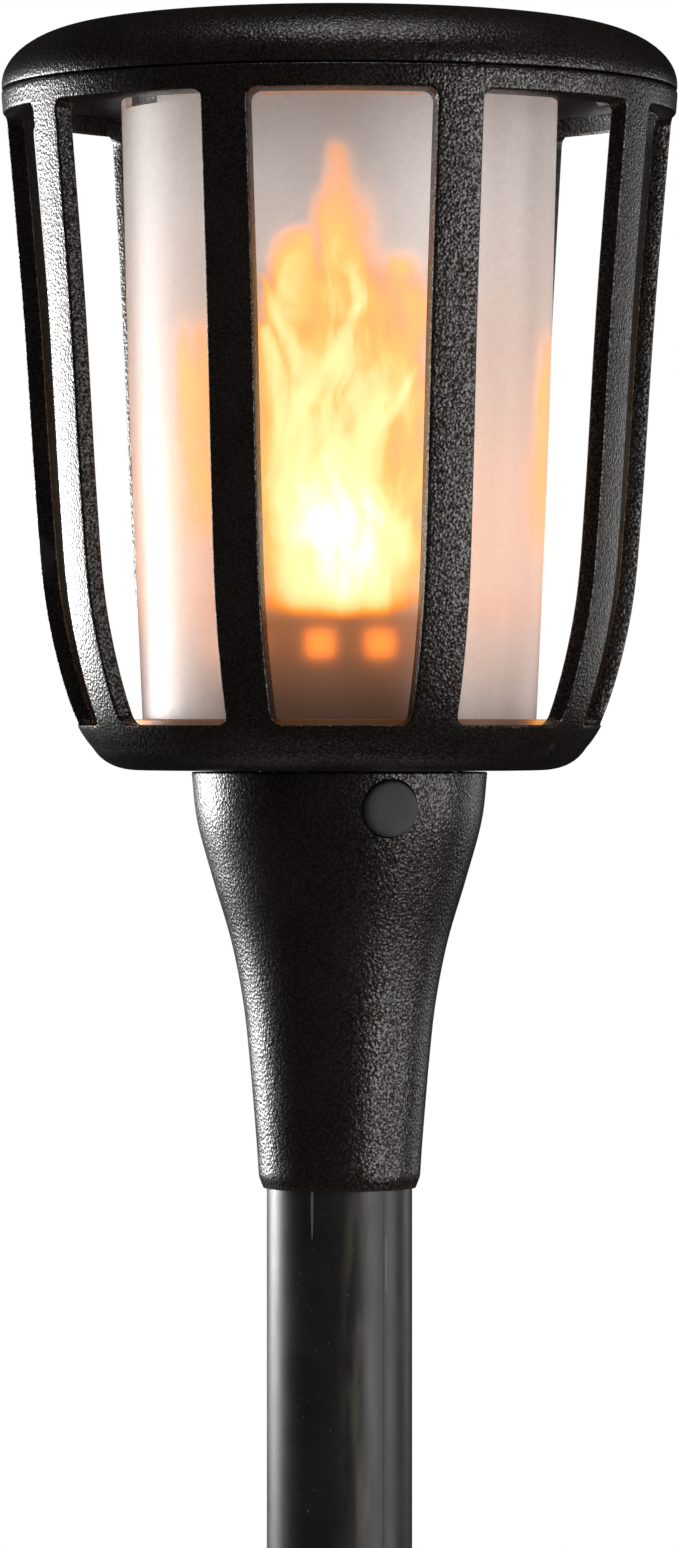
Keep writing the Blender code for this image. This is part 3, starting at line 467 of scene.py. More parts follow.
def rubber(name, dark, light, rough=0.62):
    g = Graph(name)
    place = g.place()
    fine = g.noise(place, 3800.0, 2.0, 0.6)
    broad = g.noise(place, 160.0, 3.0, 0.6)
    colour = g.mix(g.span(broad, 0.3, 0.7), dark, light)
    colour = g.mix(g.mul(edge_wear(g), 0.4), colour, tuple(2.2 * c for c in light))
    return g.surface(Normal=g.bump(fine, 0.03 * MM, 0.7), Base_Color=colour,
                     Roughness=g.span(fine, 0.2, 0.8, rough - 0.06, rough + 0.08))


def plastic(name, dark, light, rough):
    """General moulded plastic with a light texture and uneven tone."""
    g = Graph(name)
    place = g.place()
    fine = g.noise(place, 1800.0, 2.0, 0.55)
    broad = g.noise(place, 120.0, 3.0, 0.6)
    colour = g.mix(g.span(broad, 0.3, 0.7), dark, light)
    return g.surface(Base_Color=colour, Roughness=g.span(fine, 0.2, 0.8, rough - 0.07, rough + 0.07),
                     Normal=g.bump(fine, 0.03 * MM, 0.6))


def metal(name, dark, light, rough=0.3):
    g = Graph(name)
    place = g.place()
    turned = g.noise(g.vmath("MULTIPLY", place, (0.1, 0.1, 1.0)), 5000.0, 2.0, 0.6)
    spots = g.noise(place, 900.0, 3.0, 0.6)
    colour = g.mix(g.span(spots, 0.35, 0.7), light, dark)
    return g.surface(Base_Color=colour, Metallic=1.0, Roughness=g.span(spots, 0.3, 0.7, rough, rough + 0.15),
                     Normal=g.bump(turned, 0.01 * MM, 0.5))


def circuit_board():
    g = Graph("circuit_board_looks")
    place = g.place()
    weave = g.node("TexWave", {"Vector": place, "Scale": 900.0, "Distortion": 0.4}).outputs["Fac"]
    xyz = g.split(place)
    grid_x = g.math("PINGPONG", xyz["X"], 0.7 * MM)
    grid_z = g.math("PINGPONG", xyz["Z"], 1.1 * MM)
    trace = g.math("LESS_THAN", g.math("MINIMUM", grid_x, grid_z), 0.12 * MM)
    trace = g.mul(trace, g.math("GREATER_THAN", g.noise(place, 260.0, 1.0), 0.5))
    colour = g.mix(g.span(weave, 0.2, 0.8), (0.006, 0.065, 0.024), (0.010, 0.085, 0.033))
    colour = g.mix(trace, colour, (0.05, 0.19, 0.06))
    return g.surface(Base_Color=colour, Roughness=g.span(weave, 0.2, 0.8, 0.3, 0.4),
                     Normal=g.bump(trace, 0.03 * MM, 0.6))


def cell_wrap():
    g = Graph("cell_wrap_looks")
    place = g.place()
    xyz = g.split(place)
    crinkle = g.noise(g.stretched(place, 0.3), 420.0, 3.0, 0.6)
    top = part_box("battery")[1].z
    band = g.math("GREATER_THAN", xyz["Z"], top - 6 * MM)
    cap = g.math("GREATER_THAN", xyz["Z"], top - 1.6 * MM)
    colour = g.mix(g.span(crinkle, 0.3, 0.7), (0.012, 0.055, 0.22), (0.020, 0.085, 0.30))
    colour = g.mix(band, colour, (0.55, 0.55, 0.52))
    colour = g.mix(cap, colour, (0.45, 0.44, 0.42))
    return g.surface(Base_Color=colour, Metallic=g.mul(cap, 0.9),
                     Roughness=g.span(crinkle, 0.3, 0.7, 0.28, 0.4), Normal=g.bump(crinkle, 0.08 * MM, 0.5))


def foam():
    g = Graph("foam_looks")
    place = g.place()
    pores = g.cells(place, 1300.0)
    colour = g.mix(g.span(pores, 0.1, 0.6), (0.012, 0.012, 0.012), (0.05, 0.05, 0.05))
    return g.surface(Base_Color=colour, Roughness=0.95, Normal=g.bump(pores, 0.3 * MM, 0.9))


# The lit LEDs of the lowest row: their middle and reach, in degrees from the middle of the flame.
LIT_MIDDLE = 7.5
LIT_REACH = 26.0
LED_FACE_R = 21.6 * MM


def led_board():
    """Flexible board with rows of warm LEDs, brighter towards the foot, as in a flame."""
    g = Graph("led_board_looks")
    place = g.place()
    xyz = g.split(place)
    chip = g.math("GREATER_THAN", g.radius(xyz), LED_FACE_R)
    height = g.sub(xyz["Z"], SILL)
    turn = g.in_third(g.sub(g.math("ARCTAN2", xyz["Y"], xyz["X"]), FACING + radians(LIT_MIDDLE)))
    lit = g.math("LESS_THAN", g.abs(turn), radians(LIT_REACH))
    bottom_row = g.mul(g.math("LESS_THAN", height, 19 * MM), lit)
    upper_rows = g.mul(g.span(g.noise(place, 70.0, 1.0), 0.35, 0.62, 0.15, 1.0), 0.09)
    upper_rows = g.mul(g.span(height, 20 * MM, 105 * MM, 1.0, 0.06), upper_rows)
    level = g.math("MAXIMUM", upper_rows, bottom_row)
    mask = g.span(g.noise(place, 1500.0, 2.0), 0.3, 0.7)
    colour = g.mix(mask, (0.028, 0.026, 0.024), (0.040, 0.036, 0.033))
    colour = g.mix(chip, colour, (0.85, 0.62, 0.22))
    light = g.mix(level, (1.0, 0.16, 0.01), (1.0, 0.36, 0.02))
    return g.surface(Base_Color=colour, Roughness=0.45, Emission_Color=light,
                     Emission_Strength=g.mul(g.mul(chip, level), 9.0), Normal=g.bump(mask, 0.03 * MM, 0.5))


def solar_cells():
    """Dark polycrystalline cells, cut apart and crossed by thin silver fingers."""
    g = Graph("solar_cells_looks")
    place = g.place()
    xyz = g.split(place)
    tone = g.split(g.cells(place, 190.0, output="Color"))["X"]
    colour = g.mix(tone, (0.004, 0.007, 0.024), (0.009, 0.018, 0.062))
    finger = g.math("LESS_THAN", g.math("PINGPONG", xyz["X"], 1.1 * MM), 0.07 * MM)
    bus = g.math("LESS_THAN", g.math("PINGPONG", g.add(xyz["Y"], 5.5 * MM), 11 * MM), 0.45 * MM)
    gap = g.math("LESS_THAN", g.math("PINGPONG", g.add(xyz["X"], 11 * MM), 11 * MM), 0.5 * MM)
    lines = g.math("MAXIMUM", g.mul(finger, 0.55), bus)
    colour = g.mix(lines, colour, (0.42, 0.43, 0.45))
    colour = g.mix(gap, colour, (0.012, 0.012, 0.014))
    return g.surface(Base_Color=colour, Metallic=g.mul(bus, 0.8),
                     Roughness=g.span(tone, 0.0, 1.0, 0.22, 0.34), Normal=g.bump(lines, 0.03 * MM, 0.5))


def clear_window():
    g = Graph("clear_window_looks")
    place = g.place()
    scratch = g.noise(g.vmath("MULTIPLY", place, (1.0, 0.08, 1.0)), 900.0, 3.0, 0.7)
    haze = g.noise(place, 50.0, 3.0)
    colour = g.mix(haze, (0.93, 0.95, 0.97), (0.88, 0.91, 0.93))
    return g.surface(Base_Color=colour, Roughness=g.span(scratch, 0.4, 0.75, 0.03, 0.14), IOR=1.45,
                     Transmission_Weight=1.0, Normal=g.bump(scratch, 0.01 * MM, 0.4))


def tongue(g, point, start, end, widths, level):
    """One tongue of flame: full level along a line, falling off to both sides."""
    a, b = Vector((*start, 0.0)), Vector((*end, 0.0))
    along = b - a
    from_a = g.vmath("SUBTRACT", point, tuple(a))
    dot = g.node("VectorMath", {0: from_a, 1: tuple(along / along.length_squared)}, operation="DOT_PRODUCT")
    share = g.add(dot.outputs["Value"], 0.0, clamp=True)
    nearest = g.vmath("SCALE", tuple(along), scale=share)
    away = g.node("VectorMath", {0: from_a, 1: nearest}, operation="DISTANCE").outputs["Value"]
    width = g.math("MULTIPLY_ADD", share, widths[1] - widths[0], widths[0])
    return g.mul(g.span(g.math("DIVIDE", away, width), 0.0, 1.0, 1.0, 0.0), level)


# The flame on the tube is drawn in millimetres: across, round the tube from its middle, and up from the sill.
FLAME_ARC_R = 40.0
FLAME_FOOT = 21.5

# Each tongue has two ends (across, up), the half width at each end, and a level.
SOFT_TONGUES = (
    ((0.5, 106.0), (1.0, 80.0), (5.0, 17.0), 0.50),
    ((-8.0, 91.0), (-9.0, 70.0), (5.5, 15.5), 0.43),
    ((12.0, 86.0), (13.0, 60.0), (7.0, 18.0), 0.38),
    ((0.0, 62.0), (0.0, 36.0), (36.0, 32.0), 0.56),
    ((-29.0, 69.0), (-28.0, 42.0), (14.0, 21.0), 0.33),
)
BRIGHT_TONGUES = (
    ((-4.2, 100.0), (-8.6, 76.0), (1.2, 4.6), 0.17),
    ((-4.2, 100.0), (-1.0, 76.0), (1.0, 4.0), 0.12),
    ((-14.0, 84.0), (-6.0, 66.0), (1.6, 4.6), 0.18),
    ((2.6, 78.0), (-9.0, 56.0), (1.4, 5.6), 0.20),
    ((-14.0, 74.0), (-8.0, 38.0), (3.4, 9.5), 0.24),
    ((16.5, 68.0), (-4.0, 45.0), (1.4, 6.0), 0.18),
    ((8.0, 62.0), (-2.0, 40.0), (2.4, 7.0), 0.16),
    ((4.0, 43.0), (15.0, 32.0), (3.0, 6.5), 0.14),
    ((-27.5, 68.0), (-31.0, 48.0), (1.4, 4.6), 0.08),
)


# Colour of the painted flame glow by its level: smoke brown, orange, yellow, white.
FLAME_COLOURS = (
    (0.0, (0.0, 0.0, 0.0)), (0.17, (0.13, 0.050, 0.018)), (0.32, (0.42, 0.12, 0.012)),
    (0.46, (0.64, 0.30, 0.07)), (0.60, (0.76, 0.50, 0.23)), (0.78, (0.82, 0.66, 0.34)),
    (0.90, (0.92, 0.82, 0.56)), (1.0, (1.0, 0.94, 0.80)),
)


def strongest(g, point, tongues, blend):
    """Highest level of all tongues at a point, with soft joins between them."""
    best = None
    for start, end, widths, level in tongues:
        one = tongue(g, point, start, end, widths, level)
        best = one if best is None else g.math("SMOOTH_MAX", best, one, blend)
    return best


def painted_flame_glow_level(g, place, side, rise):
    """Level of the LEDs' glow painted on the tube, from 0 to 1."""
    point = g.node("CombineXYZ", {0: side, 1: rise}).outputs[0]
    for share, scale, detail, reach in ((0.6, 75.0, 1.0, 9.0), (0.5, 230.0, 2.0, 2.4)):
        warp = g.noise(g.stretched(place, share), scale, detail, output="Color")
        warp = g.vmath("SCALE", g.vmath("SUBTRACT", warp, (0.5, 0.5, 0.5)), scale=reach)
        point = g.vmath("ADD", point, warp)
    point = g.vmath("MULTIPLY", point, (1.0, 1.0, 0.0))
    soft = strongest(g, point, SOFT_TONGUES, 0.12)
    bright = strongest(g, point, BRIGHT_TONGUES, 0.08)
    heart_x = g.math("DIVIDE", g.sub(side, 1.0), 18.0)
    heart_z = g.math("DIVIDE", g.sub(rise, 27.5), 25.0)
    heart = g.math("SQRT", g.math("MULTIPLY_ADD", heart_x, heart_x, g.mul(heart_z, heart_z)))
    fibre = g.noise(g.vmath("MULTIPLY", point, (0.26, 0.07, 1.0)), 1.0, 3.0, 0.55)
    level = g.add(g.add(soft, bright), g.span(heart, 0.10, 1.15, 0.40, 0.0))
    level = g.add(level, g.mul(g.sub(fibre, 0.5), g.mul(soft, 1.3)))
    level = g.mul(level, g.span(rise, FLAME_FOOT - 4.5, FLAME_FOOT + 2.5), clamp=True)
    level = g.mul(level, g.span(rise, 78.0, 108.0, 1.0, 0.55))

    # Far from the flame a weak peach glow is still painted on the tube.
    painted_peach_wash = g.mul(g.span(rise, -6.0, 24.0), g.span(rise, 42.0, 98.0, 1.0, 0.0))
    return g.math("SMOOTH_MAX", level, g.mul(painted_peach_wash, 0.20), 0.10)


def frosted():
    """Sandblasted clear tube: rough inside and out, with the glow of the LEDs behind it painted on as
    emission and base colour.

    The painted glow belongs to the head, so it doesn't follow the tube when that is lifted.
    """
    g = Graph("frosted_diffuser_painted_glow_looks")
    place = g.place()
    fine = g.noise(place, 2400.0, 3.0, 0.65)
    coarse = g.noise(place, 700.0, 3.0, 0.6)
    speckle = g.add(g.mul(fine, 0.6), g.mul(coarse, 0.4))
    streak = g.noise(g.stretched(place, 0.06), 160.0, 3.0, 0.6)
    colour = g.mix(g.span(speckle, 0.35, 0.65), (0.82, 0.785, 0.77), (0.95, 0.93, 0.92))
    colour = g.mix(g.span(streak, 0.35, 0.7, 0.0, 0.35), colour, (0.97, 0.96, 0.95))

    in_head = g.place(HEAD)
    xyz = g.split(in_head)
    towards = g.towards(xyz, FACING)
    turn = g.in_third(g.math("ARCTAN2", g.towards(xyz, FACING + pi / 2), towards))
    side = g.mul(turn, FLAME_ARC_R)
    rise = g.rise(xyz)
    flame = painted_flame_glow_level(g, in_head, side, rise)

    # Painted glow: the tube's top edge and its foot flange get an orange glow at their rims, as if they
    # carried some of the light there.
    edge = g.mul(g.span(rise, 117.6, 118.6), g.span(rise, 120.5, 121.5, 1.0, 0.0))
    edge = g.mul(edge, g.span(g.abs(side), 13.0, 17.0, 0.26, 0.0))
    radius = g.radius(xyz)
    flange = g.mul(g.span(radius, FLANGE_R - 2.4 * MM, FLANGE_R - 1.4 * MM), g.span(rise, 1.3, 2.0, 1.0, 0.0))
    aside = g.span(g.math("DIVIDE", g.abs(towards), radius), 0.40, 0.62, 0.42, 0.05)
    edge = g.math("MAXIMUM", edge, g.mul(flange, aside))
    level = g.math("MAXIMUM", flame, edge)

    # Painted shade and glow: under the flame the dark foot of the core is painted into the tube's colour,
    # with a painted orange band of glow over it.
    under = g.mul(g.span(rise, 18.5, 26.5, 1.0, 0.0), g.span(g.abs(side), 17.0, 27.0, 1.0, 0.0))
    brown = g.mix(g.span(rise, 2.0, 19.0), (0.15, 0.070, 0.042), (0.34, 0.135, 0.050))
    band = g.span(g.abs(g.sub(rise, FLAME_FOOT)), 1.0, 4.5, 1.0, 0.0)
    band = g.mul(band, g.span(level, 0.16, 0.40))
    # Painted light and shade in the base colour: a peach tint under the painted glow, dark brown over the
    # core's foot, an orange glow band, painted shade on the flange and orange at the glowing rims.
    colour = g.mix(g.span(level, 0.18, 0.50), colour, (0.72, 0.44, 0.20))
    colour = g.mix(g.mul(under, 0.9), colour, brown)
    colour = g.mix(g.mul(band, 0.9), colour, (0.70, 0.25, 0.02))
    colour = g.mix(g.mul(flange, 0.9), colour, (0.16, 0.075, 0.035))
    colour = g.mix(g.mul(edge, 2.5, clamp=True), colour, (0.50, 0.20, 0.05))

    # Only the outer skin carries the painted glow, so it isn't painted twice.
    normal = g.split(g.node("NewGeometry").outputs["Normal"])
    outward = g.add(g.mul(normal["X"], xyz["X"]), g.mul(normal["Y"], xyz["Y"]))
    return g.surface(Base_Color=colour, Roughness=g.span(speckle, 0.3, 0.7, 0.38, 0.46), IOR=1.3,
                     Transmission_Weight=0.72, Emission_Color=g.ramp(level, *FLAME_COLOURS),
                     Emission_Strength=g.math("GREATER_THAN", outward, 0.0),
                     Normal=g.bump(speckle, 0.08 * MM, 0.6))


BLACK_GRAIN = grained_black()
BLACK_SMOOTH = smooth_black()
BLACK_TUBE = smooth_black("tube_black_abs", FACING + radians(POLE_SEAM))


# ---------------------------------------------------------------- cage

def grid(bm, radius_at, rows, around=True):
    """Quads on a surface of revolution, given as rows of (angle, height) points."""
    made = [[bm.verts.new((radius_at(z) * cos(a), radius_at(z) * sin(a), z)) for a, z in row] for row in rows]
    join_rows(bm, made, around)
    return made


def radius_function(points):
    """Radius at a height, read off a profile that falls or rises steadily in height."""
    ordered = sorted(points, key=lambda p: p[1])
    heights = np.array([p[1] for p in ordered])
    radii = np.array([p[0] for p in ordered])
    return lambda z: float(np.interp(z, heights, radii))


def over_sill(points):
    """Metres from (radius, height over the sill) in millimetres."""
    return [(r * MM, SILL + z * MM) for r, z in points]


SIDE_STEPS, ACROSS_STEPS, CORNER_STEPS, WINDOW_RINGS = 44, 18, 8, 3


def window_rings(radius_at, slat_a, slat_b, low, high):
    """Rows of (angle, height) points, from a window's rounded outline out to the box round it."""
    inner_d = HALF_SLAT
    outer_d = HALF_SLAT - WINDOW_MARGIN
    centre_d = HALF_SLAT + CORNER
    hole, frame_line = [], []

    def angle(side, distance, z):
        if side < 0:
            return slat_a + asin(distance / radius_at(z))
        return slat_b - asin(distance / radius_at(z))

    def both(hole_point, frame_point):
        hole.append(hole_point)
        frame_line.append(frame_point)

    def side_line(side, start, end):
        for i in range(SIDE_STEPS):
            z = start + (end - start) * i / SIDE_STEPS
            both((angle(side, inner_d, z), z), (angle(side, outer_d, z), z))

    def corner(side, z_corner, first_vertical):
        direction = 1 if z_corner > (low + high) / 2 else -1
        z_centre = z_corner - direction * CORNER
        for i in range(CORNER_STEPS):
            share = i / CORNER_STEPS if first_vertical else 1 - i / CORNER_STEPS
            turn = share * pi / 2
            z = z_centre + direction * CORNER * sin(turn)
            hole_point = (angle(side, centre_d - CORNER * cos(turn), z), z)
            leg = share * 2
            if leg <= 1:
                z_out = z_centre + direction * (CORNER + WINDOW_MARGIN) * leg
                distance = outer_d
            else:
                z_out = z_centre + direction * (CORNER + WINDOW_MARGIN)
                distance = outer_d + (centre_d - outer_d) * (leg - 1)
            both(hole_point, (angle(side, distance, z_out), z_out))

    def across(z_hole, z_frame, start_side):
        for i in range(ACROSS_STEPS):
            t = i / ACROSS_STEPS
            if start_side > 0:
                t = 1 - t
            pair = []
            for z in (z_hole, z_frame):
                a0 = angle(-1, centre_d, z)
                a1 = angle(1, centre_d, z)
                pair.append((a0 + (a1 - a0) * t, z))
            both(*pair)

    side_line(-1, high - CORNER, low + CORNER)
    corner(-1, low, True)
    across(low, low - WINDOW_MARGIN, -1)
    corner(1, low, False)
    side_line(1, low + CORNER, high - CORNER)
    corner(1, high, True)
    across(high, high + WINDOW_MARGIN, 1)
    corner(-1, high, False)
    rows = []
    for ring in range(WINDOW_RINGS + 1):
        t = ring / WINDOW_RINGS
        rows.append([(h[0] + (f[0] - h[0]) * t, h[1] + (f[1] - h[1]) * t) for h, f in zip(hole, frame_line)])
    return rows


# Outline of the cage (radius, height over the sill) from the rim to the bowl, and its wall, in millimetres.
CAGE_TOP = 121.7
CAGE_SIDE = [(65.0, CAGE_TOP), (64.75, 117.4), (61.5, 79.9), (59.0, 43.0), (56.9, 22.1), (52.5, 4.8)]
CAGE_WALL = 3.4


def ring_angles(radius_at, slats, z):
    """Angles round the cage that meet the windows' boxes, above or below them."""
    r = radius_at(z)
    reach, centre_d = HALF_SLAT - WINDOW_MARGIN, HALF_SLAT + CORNER
    half = CORNER_STEPS // 2
    legs = [reach + (centre_d - reach) * i / half for i in range(half)]
    angles = []
    for k in range(SLATS):
        angles += [slats[k] + asin(reach * t / r) for t in (-1, -0.5, 0, 0.5)]
        angles += [slats[k] + asin(d / r) for d in legs]
        a0 = slats[k] + asin(centre_d / r)
        a1 = slats[k + 1] - asin(centre_d / r)
        angles += [a0 + (a1 - a0) * i / ACROSS_STEPS for i in range(ACROSS_STEPS)]
        angles += [slats[k + 1] - asin(d / r) for d in reversed([centre_d, *legs[1:]])]
    return angles


def annulus(bm, r_out, angles_out, z_out, r_in, angles_in, z_in, steps=1):
    """Ring of quads between two circles."""
    rows = []
    for s in range(steps + 1):
        t = s / steps
        r, z = r_out + (r_in - r_out) * t, z_out + (z_in - z_out) * t
        turned = [a + (b - a) * t for a, b in zip(angles_out, angles_in)]
        rows.append([bm.verts.new((r * cos(a), r * sin(a), z)) for a in turned])
    join_rows(bm, rows)


def cage_skin(bm, radius_at, line, slats, top):
    """Outer or inner face of the cage. Returns the windows' outlines and the angles at its rim and bowl."""
    low, high = SILL, SILL + WINDOW_HEIGHT + top
    half = CORNER_STEPS // 2
    leg = CORNER + WINDOW_MARGIN
    z_levels = [low - WINDOW_MARGIN, *[low + CORNER - leg * (1 - i / half) for i in range(1, half)]]
    z_levels += [low + CORNER + (high - low - 2 * CORNER) * i / SIDE_STEPS for i in range(SIDE_STEPS + 1)]
    z_levels += [high - CORNER + leg * i / half for i in range(1, half + 1)]
    reach = HALF_SLAT - WINDOW_MARGIN
    outlines = []
    for k in range(SLATS):
        outlines.append(grid(bm, radius_at, window_rings(radius_at, slats[k], slats[k + 1], low, high))[0])
        slat = [[(slats[k] + asin(reach * t / radius_at(z)), z) for t in (-1, -0.5, 0, 0.5, 1)]
                for z in z_levels]
        grid(bm, radius_at, slat, around=False)
    start = high + WINDOW_MARGIN
    rim_levels = [start + (SILL + CAGE_TOP * MM - start) * i / 2 for i in range(3)]
    at_rim = ring_angles(radius_at, slats, start)
    grid(bm, radius_at, [[(a, z) for a in at_rim] for z in rim_levels])
    start = low - WINDOW_MARGIN
    at_bowl = ring_angles(radius_at, slats, start)
    bowl_levels = [start, *(z for _, z in line if z < start - 0.1 * MM)]
    grid(bm, radius_at, [[(a, z) for a in at_bowl] for z in bowl_levels])
    return outlines, at_rim, at_bowl


def make_cage():
    """One moulding: rim, nine slats and bowl. Its two skins join round the windows, at the rim and below."""
    turned_under = bend((47.5, -4.4), (44.8, -8.7), (38.5, -8.7), 12)
    side = smooth_curve([*CAGE_SIDE, (47.5, -4.4), (40.5, -8.7)], 10)
    outline = over_sill(side[:-10] + turned_under[1:])
    lining = [(r - CAGE_WALL, z) for r, z in CAGE_SIDE]
    lining = over_sill(smooth_curve([*lining, (44.5, -4.1), (38.5, -6.3)], 10))
    outer_r, inner_r = radius_function(outline), radius_function(lining)
    slats = [-pi / 2 + k * 2 * pi / SLATS for k in range(SLATS + 1)]
    bm = bmesh.new()
    outer_windows, outer_rim, outer_bowl = cage_skin(bm, outer_r, outline, slats, 0.0)
    inner_windows, inner_rim, inner_bowl = cage_skin(bm, inner_r, lining, slats, -0.8 * MM)
    for pair in zip(outer_windows, inner_windows):
        join_rows(bm, pair)
    rim = SILL + CAGE_TOP * MM
    under, floor_top = SILL - BOWL_DEPTH, SILL - BOWL_DEPTH + BOWL_FLOOR
    annulus(bm, outer_r(rim), outer_rim, rim, inner_r(rim), inner_rim, rim, 2)
    annulus(bm, outer_r(under), outer_bowl, under, BOWL_HOLE_R, outer_bowl, under, 4)
    annulus(bm, inner_r(floor_top), inner_bowl, floor_top, BOWL_HOLE_R, inner_bowl, floor_top, 4)
    annulus(bm, BOWL_HOLE_R, outer_bowl, under, BOWL_HOLE_R, inner_bowl, floor_top)
    cage = soften(finish_mesh("cage_shell", bm), 0.45 * MM, 40)
    pins = rods("pin_holes", PIN_CIRCLE_R, PIN_ANGLES, SCREW_HOLE_R, under - MM, floor_top + MM, 24)
    combine(cage, (pins, "DIFFERENCE"))
    return dress(cage, BLACK_GRAIN, "head", "grained_black", "cage")


# ---------------------------------------------------------------- neck, button, pole and stake

def make_neck():
    """Funnel with a round hole for the button, a socket for the pole and a cavity for the board."""
    funnel = [(28.5, -9.0), (27.4, -18.5), (24.3, -29.9), (20.9, -41.4), (18.6, -53.0)]
    funnel += [(17.3, -64.5), (16.0, -79.9), (15.6, -86.0)]
    outline = over_sill(smooth_curve(funnel, 10))
    outline[0] = (outline[0][0], NECK_HIGH.z)
    foot_r, foot_z = outline[-1]
    foot = [(foot_r - 0.10 * MM, foot_z - 0.9 * MM), (foot_r - 0.35 * MM, foot_z - 1.6 * MM)]
    foot += [(foot_r - 0.9 * MM, NECK_LOW.z)]
    socket_r = 14.3 * MM
    socket_top = POLE_HIGH.z + 0.3 * MM
    cavity_floor = socket_top + 2 * MM
    inner = [(r - 2 * MM, z) for r, z in outline if z > cavity_floor + MM]
    rim = rounded([(outline[1][0], outline[1][1]), (outline[0][0], outline[0][1], 0.4 * MM),
                   (inner[0][0], inner[0][1], 0.3 * MM), (inner[1][0], inner[1][1])], closed=False)
    profile = [(0.0, socket_top), (socket_r, socket_top), (socket_r, NECK_LOW.z + 0.5 * MM)]
    profile += [(socket_r + 0.3 * MM, NECK_LOW.z)]
    profile += list(reversed(foot)) + list(reversed(outline[2:])) + rim + inner[2:]
    profile += [(inner[-1][0] - 0.4 * MM, cavity_floor), (0.0, cavity_floor)]
    neck = lathe("neck_shell", profile, 144, closed=False)
    bosses = rods("bosses", PIN_CIRCLE_R, PIN_ANGLES, 3.4 * MM, NECK_HIGH.z - 16 * MM, NECK_HIGH.z - 0.4 * MM)
    bm = bmesh.new()
    post_y, half_post = -13.1 * MM, 2.2 * MM
    for x in (-6.5 * MM, 6.5 * MM):
        box_mesh(bm, (x - half_post, post_y, cavity_floor - MM),
                 (x + half_post, post_y + 6 * MM, NECK_HIGH.z - 20 * MM))
    posts = finish_mesh("posts", bm)
    holes = rods("boss_holes", PIN_CIRCLE_R, PIN_ANGLES, SCREW_HOLE_R,
                 NECK_HIGH.z - 13 * MM, NECK_HIGH.z + 2 * MM)
    bore_r = 5.7 * MM
    bore = lathe("button_bore", [(0, 0), (bore_r, 0), (bore_r, 20 * MM), (0, 20 * MM)], 96, closed=False)
    bore.matrix_world = Matrix.Translation((0, -18 * MM, BUTTON_Z)) @ Matrix.Rotation(pi / 2, 4, "X")
    bm = bmesh.new()
    for screw in ("board_screw_1", "board_screw_2"):
        low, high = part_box(screw)
        place = Matrix.Translation(((low.x + high.x) / 2, post_y + 1.5 * MM, (low.z + high.z) / 2))
        rod_mesh(bm, place @ Matrix.Rotation(pi / 2, 4, "X"), 1.5 * MM, 8 * MM, 20)
    screw_holes = finish_mesh("screw_holes", bm)
    combine(neck, (bosses, "UNION"), (posts, "UNION"), (holes, "DIFFERENCE"), (bore, "DIFFERENCE"),
            (screw_holes, "DIFFERENCE"))
    return dress(neck, BLACK_GRAIN, "head", "grained_black", "neck_housing")


def make_button():
    """Rubber cap: a slightly domed face with a soft shoulder, a flange and the nub behind it."""
    face = -BUTTON_LOW.y
    nub_back = -BUTTON_HIGH.y
    r = 5.4 * MM
    profile = [(0.0, nub_back), (1.6 * MM, nub_back), (1.6 * MM, 23.1 * MM), (6.9 * MM, 23.1 * MM)]
    profile += [(6.9 * MM, 24.1 * MM), (r, 24.1 * MM)]
    profile += arc((r - 0.9 * MM, face - 1.05 * MM), (0.9 * MM, 0.85 * MM), 0, 75, 8)
    profile += [(3.4 * MM, face - 0.11 * MM), (1.8 * MM, face - 0.03 * MM), (0.0, face)]
    button = lathe("button_cap", profile, 96, closed=False)
    button.matrix_world = Matrix.Translation((0, 0, BUTTON_Z)) @ Matrix.Rotation(pi / 2, 4, "X")
    bpy.context.view_layer.update()
    button.data.transform(button.matrix_world)
    button.matrix_world = Matrix.Identity(4)
    return dress(button, rubber("button_rubber_looks", (0.011, 0.011, 0.012), (0.017, 0.017, 0.017)),
                 "button", "button_rubber", "button")


def make_tube(name, node, body):
    """Pole tube, with rings of points all the way up."""
    low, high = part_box(node)
    corners = [(POLE_BORE_R, low.z, 0.2 * MM), (POLE_R, low.z, 0.5 * MM)]
    corners += [(POLE_R, high.z, 0.5 * MM), (POLE_BORE_R, high.z, 0.2 * MM)]
    profile = rounded(corners)
    dense = []
    for a, b in zip(profile, profile[1:] + profile[:1]):
        dense.append(a)
        if abs(a[1] - b[1]) > 0.1:
            dense += [(a[0] + (b[0] - a[0]) * k / 20, a[1] + (b[1] - a[1]) * k / 20) for k in range(1, 20)]
    return dress(lathe(name, dense, 128), BLACK_TUBE, body, "smooth_black", node)


def make_coupler():
    low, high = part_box("pole_coupler")
    spigot, inner, ring = SPIGOT_R, SPIGOT_BORE_R, POLE_R
    ring_low, ring_high = LOWER_HIGH.z + 0.3 * MM, POLE_LOW.z - 0.3 * MM
    corners = [(inner, low.z, 0.3 * MM), (spigot, low.z, MM), (spigot, ring_low, 0.2 * MM)]
    corners += [(ring, ring_low, 0.4 * MM), (ring, ring_high, 0.4 * MM), (spigot, ring_high, 0.2 * MM)]
    corners += [(spigot, high.z, MM), (inner, high.z, 0.3 * MM)]
    return dress(lathe("coupler_ring", rounded(corners), 128), BLACK_SMOOTH, "lower_pole", "smooth_black",
                 "pole_coupler")


